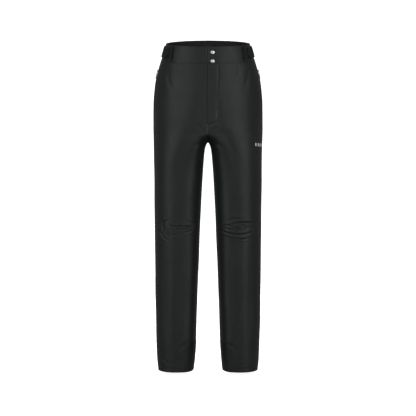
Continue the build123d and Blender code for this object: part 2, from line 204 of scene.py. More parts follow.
# ------------------------------------------------------------------ meshes
@dataclass
class Skin:
    """Mesh data in mm, as whole arrays."""

    points: Array
    corners: Array  # the point at each corner, face after face
    counts: Array  # how many corners each face has
    uv: Array  # map of the cloth, in mm, at each point
    worn: Array  # amount of wear at each point
    slots: Array  # material slot of each face

    def on_side(self, side: int) -> "Skin":
        """The skin on the wearer's left (1) or its mirror image on their right (-1)."""
        return replace(self, points=self.points * [side, 1, 1])

    @staticmethod
    def joined(skins: "list[Skin]") -> "Skin":
        """Several skins as one mesh: their arrays end to end, with the corners' numbers shifted.

        Args:
            skins: the skins to join.
        Returns:
            One skin with all their points and faces.
        """
        whole = {part.name: np.concatenate([getattr(skin, part.name) for skin in skins])
                 for part in fields(Skin)}
        starts = np.cumsum([0] + [len(skin.points) for skin in skins[:-1]])
        whole["corners"] = whole["corners"] + np.repeat(starts, [len(skin.corners) for skin in skins])
        return Skin(**whole)


def closed_sheet(outer: Array, inner: Array, keep: Array | None = None, worn: Array | None = None) -> Skin:
    """Closed skin of two grids joined by a rim round their edge and round any hole.

    Args:
        outer: grid of points on the face side.
        inner: grid of the same shape on the back.
        keep: which cells of the grid are cloth; all of them if left out.
        worn: amount of wear at each point of the grid.
    Returns:
        The skin; its back has slot 1.
    """
    rows, cols = outer.shape[:2]
    n = rows * cols
    index = np.arange(n).reshape(rows, cols)
    keep = np.ones((rows - 1, cols - 1), bool) if keep is None else keep
    cells = np.stack([index[:-1, :-1], index[:-1, 1:], index[1:, 1:], index[1:, :-1]], -1)[keep]
    framed = np.pad(keep, 1)
    across = framed[1:-1, :-1] != framed[1:-1, 1:]
    upright = framed[:-1, 1:-1] != framed[1:, 1:-1]
    p = np.concatenate([index[:-1][across], index[:, :-1][upright]])
    q = np.concatenate([index[1:][across], index[:, 1:][upright]])
    faces = np.concatenate([cells, cells[:, ::-1] + n, np.stack([p, q, q + n, p + n], -1)])
    used, compact = np.unique(faces, return_inverse=True)
    uv = np.stack([run_length(outer, 1) + 0 * outer[..., 0], run_length(outer, 0)], -1).reshape(-1, 2)
    worn = np.zeros(n) if worn is None else worn.reshape(-1)
    slots = np.zeros(len(faces), int)
    slots[len(cells):2 * len(cells)] = 1
    points = np.concatenate([outer.reshape(-1, 3), inner.reshape(-1, 3)])
    return Skin(points[used], compact.ravel(), np.full(len(faces), 4), np.tile(uv, (2, 1))[used],
                np.tile(worn, 2)[used], slots)


def swept(rings: Array, closed: bool = False) -> Skin:
    """Tube through rings of points, with flat ends unless it closes on itself.

    Args:
        rings: sections by points by 3.
        closed: whether the last ring joins the first.
    Returns:
        The skin, mapped by the distances along and round it.
    """
    count, size = rings.shape[:2]
    index = np.arange(count * size).reshape(count, size)
    following = np.roll(index, -1, axis=0) if closed else index[1:]
    here = index if closed else index[:-1]
    corners = np.stack([here, np.roll(here, -1, 1), np.roll(following, -1, 1), following], -1).ravel()
    counts = np.full(here.size, 4)
    if not closed:
        corners = np.concatenate([corners, index[0], index[-1, ::-1]])
        counts = np.append(counts, [size, size])
    uv = np.stack([run_length(rings, 0), run_length(rings, 1)], -1).reshape(-1, 2)
    return Skin(rings.reshape(-1, 3), corners, counts, uv, np.zeros(count * size), np.zeros(len(counts), int))


def turned(profile: Array, centre: Array, along: Array, up: Array, out: Array, steps: int) -> Skin:
    """Lathe-turned solid: each radius and height of the profile goes round the outward axis.

    Args:
        profile: radius and height of each point of the outline.
        centre: where the axis meets the cloth.
        along: level direction across the axis.
        up: upward direction across the axis.
        out: direction of the axis.
        steps: points in one turn.
    Returns:
        The skin, ring after ring along the profile.
    """
    angle = np.linspace(0, 2 * np.pi, steps, endpoint=False)
    ring = np.cos(angle)[:, None, None] * along + np.sin(angle)[:, None, None] * up
    points = centre + profile[None, :, :1] * ring + profile[None, :, 1:] * out
    return swept(points.transpose(1, 0, 2))


def capsules(points: Array, along: Array, out: Array, length: float, radius: float) -> Skin:
    """Short rounded threads laid on a surface: one six-sided capsule, narrow and sunk at both ends.

    Args:
        points: middles of the threads.
        along: direction of each thread.
        out: outward direction at each thread.
        length: length of a thread in mm.
        radius: half its width in mm; it is flattened outwards.
    Returns:
        The skin of all the threads.
    """
    angle = np.linspace(0, 2 * np.pi, 6, endpoint=False)
    reach = np.array([-0.5, -0.36, 0.36, 0.5]) * length
    width = np.array([0.35, 1.0, 1.0, 0.35]) * radius
    sink = np.array([-0.9, 0.0, 0.0, -0.9]) * radius
    side = np.cross(out, along)
    base = (
        points[:, None, None] + reach[None, :, None, None] * along[:, None, None]
        + (width[:, None] * np.cos(angle))[None, ..., None] * side[:, None, None]
        + (width[:, None] * np.sin(angle) * 0.7 + sink[:, None])[None, ..., None] * out[:, None, None]
    )
    one = swept(base[0])
    count, size = len(points), base.shape[1] * base.shape[2]
    corners = (one.corners + size * np.arange(count)[:, None]).ravel()
    counts = np.tile(one.counts, count)
    return Skin(base.reshape(-1, 3), corners, counts, np.tile(one.uv, (count, 1)), np.zeros(count * size),
                np.zeros(len(counts), int))


def stitch_row(path: Array, out: Array, pitch: float = 3.8, length: float = 2.7) -> Skin:
    """A row of stitches evenly spaced along a path on the cloth.

    Args:
        path: points along the row.
        out: outward direction at each point.
        pitch: distance from stitch to stitch in mm.
        length: length of one stitch in mm.
    Returns:
        The skin of the stitches.
    """
    travelled = run_length(path, 0)
    spots = np.arange(pitch / 2, travelled[-1], pitch)
    middle = np.stack([np.interp(spots, travelled, path[:, k]) for k in range(3)], -1)
    normal = unit(np.stack([np.interp(spots, travelled, out[:, k]) for k in range(3)], -1))
    tangent = np.stack(
        [np.interp(spots, travelled, np.gradient(path[:, k], travelled)) for k in range(3)], -1
    )
    tangent = unit(tangent - (tangent * normal).sum(-1, keepdims=True) * normal)
    return capsules(middle + 0.12 * normal, tangent, normal, length, 0.34)


def make(name: str, skin: Skin, materials: list[bpy.types.Material],
         stands_for: tuple[str, ...] = (), body: str = "", blend: tuple[str, str] | None = None,
         sharp: float = 40.0) -> bpy.types.Object:
    """Turn a skin into a finished object and hang it on its body.

    Args:
        name: name of the piece.
        skin: its mesh data in mm.
        materials: face side first, then the back where there is one.
        stands_for: CAD nodes that it replaces.
        body: body it rides on, unless blend is given.
        blend: the two bodies it spans, if any; when given, the piece is left in world space on no body, and
            the names themselves are not used.
        sharp: angle in degrees above which an edge stays crisp.
    Returns:
        The object.
    """
    mesh = bpy.data.meshes.new(name)
    mesh.vertices.add(len(skin.points))
    mesh.vertices.foreach_set("co", (skin.points * MM).astype(np.float32).ravel())
    mesh.loops.add(len(skin.corners))
    mesh.loops.foreach_set("vertex_index", skin.corners.astype(np.int32))
    mesh.polygons.add(len(skin.counts))
    mesh.polygons.foreach_set("loop_start", (np.cumsum(skin.counts) - skin.counts).astype(np.int32))
    mesh.update(calc_edges=True)
    for material in materials:
        mesh.materials.append(material)
    if len(materials) > 1:
        mesh.polygons.foreach_set("material_index", skin.slots.astype(np.int32))
    layer = mesh.uv_layers.new(name="cloth")
    layer.data.foreach_set("uv", (skin.uv[skin.corners] * MM).astype(np.float32).ravel())
    worn = mesh.attributes.new("worn", "FLOAT", "POINT")
    worn.data.foreach_set("value", skin.worn.astype(np.float32))
    work = bmesh.new()
    work.from_mesh(mesh)
    bmesh.ops.recalc_face_normals(work, faces=work.faces)
    work.to_mesh(mesh)
    work.free()
    mesh.shade_smooth()
    mesh.set_sharp_from_angle(angle=math.radians(sharp))
    piece = bpy.data.objects.new(name, mesh)
    bpy.context.scene.collection.objects.link(piece)
    if stands_for:
        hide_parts(*stands_for)
    if blend:
        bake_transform(piece)
    else:
        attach(piece, body)
    log.info("%s: %d faces", name, len(mesh.polygons))
    return piece


# ------------------------------------------------------------------ finishes
def colour_of(code: str) -> tuple[float, float, float, float]:
    """Linear colour from an sRGB hex code."""
    parts = [int(code[i:i + 2], 16) / 255 for i in (1, 3, 5)]
    linear = [c / 12.92 if c <= 0.04045 else ((c + 0.055) / 1.055) ** 2.4 for c in parts]
    return (*linear, 1.0)


class Weave(Enum):
    """How a cloth's surface is made."""

    TWILL = "diagonal woven ribs"
    PILE = "brushed or looped pile"
    RIBS = "straight ribs"
    GRID = "ripstop grid"
    KNIT = "open knit"
    SATIN = "smooth satin"


@dataclass
class Nodes:
    """Short hand for building one material's nodes."""

    material: bpy.types.Material

    def add(self, kind: str, inputs: dict | None = None, **settings: object) -> bpy.types.Node:
        """Add a node.

        Args:
            kind: the node's type.
            inputs: values or sockets by input name or number.
            settings: properties of the node.
        Returns:
            The node.
        """
        tree = self.material.node_tree
        node = tree.nodes.new(kind)
        for key, value in settings.items():
            setattr(node, key, value)
        for key, value in (inputs or {}).items():
            if isinstance(value, bpy.types.NodeSocket):
                tree.links.new(value, node.inputs[key])
            else:
                node.inputs[key].default_value = value
        return node


def new_material(name: str) -> tuple[Nodes, bpy.types.Node]:
    """A material with only its shader, and the helper that adds to it."""
    material = bpy.data.materials.new(name)
    material.use_nodes = True
    return Nodes(material), material.node_tree.nodes["Principled BSDF"]


@dataclass(frozen=True)
class Cloth:
    """A textile: colour, weave and its real scale, and how it takes light."""

    name: str
    colour: str
    lighter: str
    weave: Weave = Weave.TWILL
    pitch: float = 0.9  # mm from rib to rib; drawn a little coarser than the thread so that it shows
    relief: float = 0.25
    roughness: float = 0.62
    sheen: float = 0.12

    def build(self) -> bpy.types.Material:
        """Weave relief, a soft mottle in the dye, paler worn edges and a faint nap.

        Returns:
            The material.
        """
        n, shader = new_material(self.name)
        where = n.add("ShaderNodeTexCoord").outputs["UV"]
        body = n.add("ShaderNodeTexCoord").outputs["Object"]
        pattern = self._pattern(n, where)
        # the dye is cloudy over about 40 mm, and the thread uneven over about 2.4 mm
        mottle = n.add("ShaderNodeTexNoise", {"Vector": body, "Scale": 24.0, "Detail": 4.0})
        thread = n.add("ShaderNodeTexNoise", {"Vector": body, "Scale": 420.0, "Detail": 2.0})
        worn = n.add("ShaderNodeAttribute", attribute_name="worn")
        tone: float | bpy.types.NodeSocket = -0.05
        for source, share in ((mottle, 0.55), (thread, 0.25), (worn, 0.5)):
            terms = {0: source.outputs["Fac"], 1: share, 2: tone}
            tone = n.add("ShaderNodeMath", terms, operation="MULTIPLY_ADD").outputs[0]
        dyes = {0: tone, 6: colour_of(self.colour), 7: colour_of(self.lighter)}
        dye = n.add("ShaderNodeMix", dyes, data_type="RGBA")
        gloss = {0: mottle.outputs["Fac"], 3: self.roughness - 0.07, 4: self.roughness + 0.08}
        rough = n.add("ShaderNodeMapRange", gloss)
        bump = n.add("ShaderNodeBump", {"Height": pattern, "Strength": self.relief, "Distance": 0.0003})
        grain = n.add("ShaderNodeBump", {"Height": thread.outputs["Fac"], "Strength": 0.12,
                                         "Distance": 0.0004, "Normal": bump.outputs[0]})
        tree = n.material.node_tree
        tree.links.new(dye.outputs[2], shader.inputs["Base Color"])
        tree.links.new(rough.outputs[0], shader.inputs["Roughness"])
        tree.links.new(grain.outputs[0], shader.inputs["Normal"])
        shader.inputs["Sheen Weight"].default_value = self.sheen
        shader.inputs["Sheen Roughness"].default_value = 0.45
        shader.inputs["Specular IOR Level"].default_value = 0.35
        return n.material

    def _pattern(self, n: Nodes, where: bpy.types.NodeSocket) -> bpy.types.NodeSocket:
        """Height of the weave at each point, by the kind of cloth.

        Args:
            n: helper that adds nodes to the material.
            where: the cloth's own map.
        Returns:
            The socket that gives the height.
        """
        per_metre = 1.0 / (self.pitch * MM)
        if self.weave is Weave.PILE:
            fuzz = {"Vector": where, "Scale": per_metre, "Detail": 3.0}
            return n.add("ShaderNodeTexNoise", fuzz).outputs["Fac"]
        if self.weave is Weave.KNIT:
            return n.add("ShaderNodeTexVoronoi", {"Vector": where, "Scale": per_metre}).outputs["Distance"]
        # the slant of the ribs, in radians
        turn = {Weave.TWILL: 0.95, Weave.RIBS: 0.0, Weave.GRID: 0.0, Weave.SATIN: 1.2}[self.weave]
        placed = n.add("ShaderNodeMapping", {"Vector": where, "Rotation": (0.0, 0.0, turn)})
        # a wave texture repeats every 2 pi / 20 of its scaled length
        scale = per_metre * math.pi / 10.0
        ribs = n.add("ShaderNodeTexWave", {"Vector": placed.outputs[0], "Scale": scale, "Distortion": 0.4})
        if self.weave is not Weave.GRID:
            return ribs.outputs["Fac"]
        cross = n.add("ShaderNodeTexWave", {"Vector": placed.outputs[0], "Scale": scale}, bands_direction="Y")
        threads = {0: ribs.outputs["Fac"], 1: cross.outputs["Fac"]}
        return n.add("ShaderNodeMath", threads, operation="MAXIMUM").outputs[0]


@dataclass(frozen=True)
class Hard:
    """A moulded or metal part: colour, gloss, and the marks of its making."""

    name: str
    colour: str
    lighter: str
    metallic: float = 0.0
    roughness: float = 0.4
    grain: float = 900.0  # marks per metre
    relief: float = 0.1
    coat: float = 0.0

    def build(self) -> bpy.types.Material:
        """Fine grain in the surface, cloudy gloss from handling and a little colour drift.

        Returns:
            The material.
        """
        n, shader = new_material(self.name)
        where = n.add("ShaderNodeTexCoord").outputs["Object"]
        cloud = n.add("ShaderNodeTexNoise", {"Vector": where, "Scale": 180.0, "Detail": 3.0})
        grain = n.add("ShaderNodeTexNoise", {"Vector": where, "Scale": self.grain, "Detail": 2.0})
        tints = {0: cloud.outputs["Fac"], 6: colour_of(self.colour), 7: colour_of(self.lighter)}
        tint = n.add("ShaderNodeMix", tints, data_type="RGBA")
        gloss = {0: cloud.outputs["Fac"], 3: self.roughness - 0.08, 4: self.roughness + 0.12}
        rough = n.add("ShaderNodeMapRange", gloss)
        marks = {"Height": grain.outputs["Fac"], "Strength": self.relief, "Distance": 0.0001}
        bump = n.add("ShaderNodeBump", marks)
        tree = n.material.node_tree
        tree.links.new(tint.outputs[2], shader.inputs["Base Color"])
        tree.links.new(rough.outputs[0], shader.inputs["Roughness"])
        tree.links.new(bump.outputs[0], shader.inputs["Normal"])
        shader.inputs["Metallic"].default_value = self.metallic
        shader.inputs["Coat Weight"].default_value = self.coat
        return n.material


def made_once(finish: Cloth | Hard) -> bpy.types.Material:
    """Field whose material is built when the trousers' finishes are."""
    return field(default_factory=finish.build)


@dataclass
class Finishes:
    """Every material of the trousers, made once."""

    # stretch twill face of a bonded laminate: near black, with soft broad highlights and no glitter
    shell: bpy.types.Material = made_once(Cloth(
        "softshell_matte_twill", "#131716", "#1f2423", Weave.TWILL, 0.9, 0.22, 0.5, 0.01))
    # brushed knitted back of the laminate: deeper and fuzzier, with no highlight at all
    fleece: bpy.types.Material = made_once(Cloth(
        "bonded_fleece_brushed", "#131415", "#222326", Weave.PILE, 1.4, 0.6, 0.85, 0.08))
    # the same twill, fused and pressed flat: a touch darker and smoother than the legs
    band: bpy.types.Material = made_once(Cloth(
        "waistband_softshell_pressed", "#121514", "#1d2120", Weave.TWILL, 0.9, 0.22, 0.48, 0.01))
    # brushed tricot inside the band: an even, velvety dark
    facing: bpy.types.Material = made_once(Cloth(
        "tricot_facing_brushed", "#131415", "#202124", Weave.PILE, 0.9, 0.4, 0.75, 0.08))
    # nylon webbing woven in ribs: black lines across the straps and tabs
    webbing: bpy.types.Material = made_once(Cloth(
        "webbing_ribbed_weave", "#060606", "#101011", Weave.RIBS, 1.6, 0.5, 0.6, 0.0))
    # tightly woven polyester tape: the blackest and flattest cloth, so that zips read as a line; on the front
    # panels round the pocket slots, out to the side seam, it is partly the zip's own edge and partly painted
    # shade along the silhouette
    tape: bpy.types.Material = made_once(Cloth(
        "zip_tape_and_slot_edge_shade", "#060606", "#0d0d0d", Weave.TWILL, 0.7, 0.3, 0.65, 0.0))
    # looped nylon pile: a rough, light-drinking patch in the tone of the band
    pile: bpy.types.Material = made_once(Cloth(
        "loop_patch_pile", "#0e1010", "#1a1c1c", Weave.PILE, 1.0, 0.9, 0.9, 0.05))
    # moulded nylon hooks: small bright points in rows
    hooks: bpy.types.Material = made_once(Cloth(
        "hook_patch_moulded", "#0c0c0d", "#171718", Weave.KNIT, 1.3, 0.8, 0.42, 0.0))
    # open warp-knitted mesh: greyer than the rest, pitted all over
    mesh: bpy.types.Material = made_once(Cloth(
        "pocket_mesh_knitted", "#202122", "#323335", Weave.KNIT, 1.8, 0.7, 0.75, 0.15))
    # ripstop taffeta, coated on the back: a crisp grid and a slight shine
    taffeta: bpy.types.Material = made_once(Cloth(
        "cuff_taffeta_coated", "#141516", "#202122", Weave.GRID, 5.0, 0.35, 0.42, 0.05))
    # woven elastic with rubber gripper threads: strong ribs with narrow highlights
    elastic: bpy.types.Material = made_once(Cloth(
        "elastic_gripper_ribbed", "#101010", "#1c1c1c", Weave.RIBS, 2.2, 0.7, 0.6, 0.05))
    # blank satin-woven label: a smooth slanting lustre
    label: bpy.types.Material = made_once(Cloth(
        "label_woven_satin", "#1c1c1e", "#2e2e31", Weave.SATIN, 0.5, 0.2, 0.5, 0.0))
    # plain-woven oxford with a coated face: a visible square weave, darker than the legs
    guard: bpy.types.Material = made_once(Cloth(
        "scuff_guard_coated_oxford", "#0c0d0d", "#171818", Weave.GRID, 2.4, 0.4, 0.5, 0.0))
    # waxed polyester thread: a faint row of lit dashes on the darker cloth
    thread: bpy.types.Material = made_once(Hard(
        "thread_waxed_polyester", "#0d0e0e", "#1b1c1c", 0.0, 0.46, 2600.0, 0.4))
    # drawn nylon coil: smooth enough for a pin-sharp light on each turn
    coil: bpy.types.Material = made_once(Hard(
        "coil_drawn_nylon", "#0d0d0e", "#18181a", 0.0, 0.34, 1500.0, 0.1))
    # die-cast zinc under black enamel: a clear coat's gloss over a soft, cloudy one; on the snap caps' rolled
    # rings the same black is painted shade
    enamel: bpy.types.Material = made_once(Hard(
        "zinc_black_enamel_and_snap_ring_shade", "#0c0c0d", "#1d1d1f", 0.3, 0.32, 900.0, 0.12, 0.3))
    # polished nickel plate: bright discs, almost white, that show the lights as soft patches
    silver: bpy.types.Material = made_once(Hard(
        "snap_cap_nickel_polished", "#d6d5d1", "#efeeea", 1.0, 0.36, 1600.0, 0.06))
    # pressed bare steel: greyer and more finely marked than the caps
    steel: bpy.types.Material = made_once(Hard(
        "snap_socket_steel_pressed", "#8f9090", "#a8a9a9", 1.0, 0.38, 2200.0, 0.1))
    # film of glass beads: a pale, grainy silver
    reflective: bpy.types.Material = made_once(Hard(
        "transfer_glass_bead_reflective", "#d4d5d6", "#f0f1f2", 0.1, 0.38, 3200.0, 0.35, 0.15))


# ------------------------------------------------------------------ folds in the cloth
@dataclass(frozen=True)
class Crease:
    """A fold pressed in between two points, given as x and height seen from the front, in mm."""

    x0: float
    h0: float
    x1: float
    h1: float
    bow: float = 0.0
    depth: float = 1.2
    width: float = 3.0

    def relief(self, x: Array, h: Array) -> Array:
        """Depth of the fold: a bell across its bowed line, with a soft ridge beside it."""
        dx, dh = self.x1 - self.x0, self.h1 - self.h0
        length = math.hypot(dx, dh)
        t = np.clip(((x - self.x0) * dx + (h - self.h0) * dh) / length**2, 0, 1)
        lift = 4 * self.bow * t * (1 - t)
        away = np.hypot(x - self.x0 - t * dx + lift * dh / length, h - self.h0 - t * dh - lift * dx / length)
        taper = np.sin(np.pi * np.clip(t, 0.05, 0.95)) ** 0.6
        valley = np.exp(-((away / self.width) ** 2))
        ridge = np.exp(-(((away - 2.1 * self.width) / (1.4 * self.width)) ** 2))
        return self.depth * taper * (0.5 * ridge - valley)


@dataclass(frozen=True)
class Drape:
    """Relief of the worn cloth, front and back, from broad folds down to small puckers."""

    front: tuple[Crease, ...] = (
        # wearer's left knee: an arc above, a smile below, small crinkles inside
        Crease(76, 461, 146, 466, 5, 2.2, 2.3), Crease(36, 445, 148, 442, -13, 2.8, 2.5),
        Crease(50, 437, 128, 431, -8, 1.6, 2.0), Crease(80, 456, 99, 444, 0, 2.2, 1.8),
        Crease(86, 441, 104, 452, 0, 2.0, 1.8), Crease(104, 458, 122, 447, 2, 1.6, 1.8),
        Crease(82, 420, 122, 418, -3, 1.3, 2.0), Crease(44, 458, 74, 455, 3, 1.6, 2.0),
        Crease(118, 452, 142, 458, -2, 1.6, 2.0), Crease(56, 449, 78, 448, -2, 1.2, 1.8),
        Crease(128, 440, 148, 452, 2, 1.5, 2.0), Crease(62, 474, 112, 478, 3, 0.8, 3.0),
        # wearer's right knee: a gathered seam, a dimple at its outer end and a slanting fold
        Crease(-128, 456, -30, 453, 1.5, 1.3, 1.6), Crease(-140, 444, -138, 468, 0, 2.6, 3.2),
        Crease(-153, 446, -124, 412, -3, 2.4, 2.4), Crease(-150, 462, -120, 474, 3, 1.3, 2.4),
        Crease(-124, 447, -128, 424, 2, 1.8, 2.2), Crease(-76, 436, -48, 444, -2, 1.0, 2.4),
        Crease(-64, 470, -34, 462, 2, 0.9, 2.6), Crease(-112, 430, -86, 436, -2, 0.9, 2.4),
        # crotch and the foot of the fly
        Crease(6, 735, 34, 762, 4, 0.7, 5.0), Crease(-6, 735, -36, 764, -4, 0.7, 5.0),
        Crease(12, 716, 44, 692, 4, 1.0, 5.0), Crease(-12, 716, -46, 690, -4, 1.0, 5.0),
        Crease(30, 822, 8, 786, -6, 0.9, 2.4), Crease(22, 808, 10, 776, -3, 0.9, 2.0),
        Crease(-6, 800, -30, 824, 3, 0.5, 5.0), Crease(40, 800, 74, 812, 3, 0.5, 7.0),
        # pulls under the waistband
        Crease(38, 946, 54, 930, 0, 0.5, 3.0), Crease(-8, 948, -30, 926, 0, 0.7, 2.8),
        Crease(96, 944, 84, 905, 2, 0.8, 4.5), Crease(-98, 946, -84, 908, -2, 0.8, 4.5),
        Crease(124, 940, 112, 880, 3, 0.8, 6.0), Crease(-126, 940, -112, 880, -3, 0.8, 6.0),
        # long soft folds down the legs
        Crease(96, 700, 108, 500, 5, 0.9, 16.0), Crease(-92, 700, -104, 505, -5, 0.9, 16.0),
        Crease(70, 400, 84, 150, -6, 1.1, 14.0), Crease(-74, 400, -88, 150, 6, 1.1, 14.0),
        Crease(132, 380, 128, 120, 4, 0.9, 11.0), Crease(-134, 380, -126, 110, -4, 0.9, 11.0),
        Crease(60, 90, 92, 62, 4, 0.8, 5.0), Crease(-62, 96, -96, 60, -4, 0.9, 5.0),
        Crease(-146, 44, -128, 28, 2, 1.0, 4.0),
    )
    back: tuple[Crease, ...] = (
        # under the seat, and behind the knees, the same on both legs
        Crease(20, 752, 118, 742, -14, 1.5, 7.0), Crease(30, 726, 112, 714, -10, 1.2, 6.0),
        Crease(8, 790, 40, 760, -4, 1.5, 5.0), Crease(40, 474, 150, 480, -8, 1.9, 4.0),
        Crease(38, 450, 152, 452, 7, 2.2, 4.0), Crease(44, 426, 148, 420, 8, 1.7, 4.0),
        Crease(60, 497, 132, 502, 6, 1.1, 4.5), Crease(70, 404, 128, 398, -5, 1.0, 5.0),
        Crease(60, 380, 78, 140, -6, 1.2, 14.0), Crease(122, 380, 128, 130, 5, 1.0, 12.0),
        Crease(80, 960, 60, 900, 3, 0.9, 7.0), Crease(112, 945, 104, 880, 3, 0.8, 7.0),
    )

    def relief(self, x: Array, y: Array, h: Array, side: int) -> Array:
        """Height of the cloth over the plain form, in mm.

        Args:
            x: distance from the middle, positive on both legs.
            y: depth.
            h: height above the hem.
            side: 1 on the wearer's left, -1 on the right.
        Returns:
            The creases facing that way, gathers on one knee and slow waves over everything.
        """
        seen, total = side * x, np.zeros(np.broadcast(x, y, h).shape)
        facing = smooth_step(-y, -SEAM_Y - 6, 14.0)
        for crease in self.front:
            total = total + facing * crease.relief(seen, h)
        behind = smooth_step(y, SEAM_Y + 2, 34.0)
        for crease in self.back:
            total = total + behind * crease.relief(x, h)
        # gathers 5.6 mm apart along the seam of the right knee
        span = smooth_step(-seen, 28, 44) * (1 - smooth_step(-seen, 112, 126))
        gathers = np.exp(-(((h - 455) / 13.0) ** 2)) * facing * span
        total = total + 0.9 * gathers * np.sin(seen * 2 * np.pi / 5.6 + 0.6 * np.sin(h / 5.0))
        slow = 0.45 * np.sin(x / 17.0 + h / 83.0 + side) * np.sin(h / 61.0 + y / 40.0 + 0.7 * side)
        slow = slow + 0.28 * np.sin(h / 23.0 + x / 31.0 - y / 37.0 + 2.0 * side)
        return total + slow


DRAPE = Drape()


# ------------------------------------------------------------------ grids on the body
Edge = Callable[[Array], Array]


def at_x(x: float, side: int = -1) -> Edge:
    """Edge where the surface meets a given x, in front (-1) or behind (1)."""
    return lambda height: BODY.turn_at_x(height, x, side)


def at_y(y: float) -> Edge:
    """Edge where the surface meets a given y."""
    return lambda height: BODY.turn_at_y(height, y)


def grid_between(levels: Array, first: Edge, last: Edge, columns: int) -> tuple[Array, Array]:
    """Grid on the body with rows at levels and even columns from one edge to another.

    Args:
        levels: level of each row, or of each point of the grid.
        first: edge that gives the turn of the first column.
        last: edge that gives the turn of the last column.
        columns: number of columns.
    Returns:
        Heights and turns of the grid's points.
    """
    share = np.linspace(0, 1, columns)
    level = levels[:, None] if levels.ndim == 1 else levels
    height = level + 0 * share
    for _ in range(4):
        start, end = first(height[:, 0])[:, None], last(height[:, -1])[:, None]
        turn = start + share * (end - start)
        height = BODY.tilt(level, turn)
    return height, turn


def rounded(distance: Array, radius: float) -> Array:
    """How far a rolled edge drops: a quarter circle of the radius, nothing further in."""
    return radius - np.sqrt(np.maximum(radius**2 - np.clip(radius - distance, 0, radius) ** 2, 0))


def layered(height: Array, turn: Array, outer: Array | float, inner: Array | float,
            worn: Array | None = None) -> tuple[Skin, Array, Array]:
    """Closed layer of cloth between two distances off the body's form.

    Args:
        height: heights of the grid's points.
        turn: turns of the grid's points.
        outer: distance of the face side along the outward direction.
        inner: distance of the back.
        worn: amount of wear at each point.
    Returns:
        The skin, its face side's grid and the outward directions.
    """
    plain = BODY.point(height, turn)
    normal = grid_normals(plain)
    face = plain + normal * np.broadcast_to(outer, height.shape)[..., None]
    back = plain + normal * np.broadcast_to(inner, height.shape)[..., None]
    return closed_sheet(face, back, None, worn), face, normal


def edge_distance(grid: Array, butted: int | None = None) -> Array:
    """Distance of each point of a grid to the nearest of its four edges.

    Args:
        grid: grid of points.
        butted: 0 or -1 to leave out the first or the last column's edge.
    Returns:
        The distances in mm.
    """
    across, up = run_length(grid, 1), run_length(grid, 0)
    from_first = across + (1000.0 if butted == 0 else 0.0)
    from_last = across[:, -1:] - across + (1000.0 if butted == -1 else 0.0)
    return np.minimum(np.minimum(from_first, from_last), np.minimum(up, up[-1:] - up))


# ------------------------------------------------------------------ shell
def fly_edge_x(height: Array) -> Array:
    """Line of the fly's stitching: straight down at its root, then round in a J to the middle."""
    rise = np.clip(height - FLY_FOOT, 0, FLY_TURN)
    curve = FLY_ROOT - FLY_TURN + np.sqrt(np.maximum(FLY_TURN**2 - (FLY_TURN - rise) ** 2, 0))
    return np.where(height > FLY_FOOT, curve, 0.0)


def root_valley(x: Array, height: Array) -> Array:
    """Depth of the soft valley that the fly's sewn root line draws into the cloth.

    Args:
        x: distance from the middle, on the wearer's left.
        height: heights above the hem.
    Returns:
        A bell across the root line, as deep as the form stands proud of the line the fly turns on.
    """
    level = np.linspace(740.0, 985.0, 50)
    form_y = BODY.point(level, BODY.turn_at_x(level, FLY_ROOT, -1))[..., 1]
    proud = np.maximum(HINGE_Y + HINGE_SLOPE * (level - HINGE_HEIGHT) - form_y + 0.3, 0)
    deep = np.interp(height, level, proud) * smooth_step(height, 748, 776)
    return deep * np.exp(-(((x - FLY_ROOT) / 8.0) ** 2))


def lap_edge_x(height: Array) -> Array:
    """Edge of the right front, just short of the lapped strip's free edge."""
    return np.where(height > FLY_FOOT, -FLY_FREE + 1.2, 0.0)


@dataclass(frozen=True)
class PocketLine:
    """The arc of a side zip, in the plane that faces out and a little forwards."""

    radius: float = 513.6
    lean: float = math.radians(7.3)
    turn: float = math.radians(11.0)
    half: float = math.radians(7.33)
    middle: tuple[float, float, float] = (168.0, -4.0, 890.0)

    def point(self, proud: Array, angle: Array) -> Array:
        """Point proud of the arc at an angle round its centre, on the wearer's left."""
        reach = self.radius + proud
        out = reach * np.cos(angle) - self.radius * math.cos(self.lean)
        up = reach * np.sin(angle) - self.radius * math.sin(self.lean)
        x, y, h = self.middle
        ahead, aside = math.cos(self.turn), math.sin(self.turn)
        return np.stack([x + out * ahead, y - out * aside, h + up - WAIST_HEIGHT], -1)

    @property
    def across(self) -> Array:
        """Direction across the zip."""
        return np.array([-math.sin(self.turn), -math.cos(self.turn), 0.0])

    def out(self, angle: Array) -> Array:
        """Outward direction at an angle round the centre."""
        flat = np.cos(angle)[..., None] * [math.cos(self.turn), -math.sin(self.turn), 0.0]
        return flat + np.sin(angle)[..., None] * np.array([0.0, 0.0, 1.0])

    def y_at(self, height: Array) -> Array:
        """Depth of the zip's line at a height."""
        up = np.clip(height - self.middle[2], -66, 66) + self.radius * math.sin(self.lean)
        out = np.sqrt(self.radius**2 - up**2) - self.radius * math.cos(self.lean)
        return self.middle[1] - out * math.sin(self.turn)

    def angles(self, step: float, margin: float = 0.0) -> Array:
        """Angles along the zip, a step in mm apart."""
        reach = self.half - margin / self.radius
        return np.arange(self.lean - reach, self.lean + reach, step / self.radius)


POCKET = PocketLine()
SIDES = (("left", 1), ("right", -1))


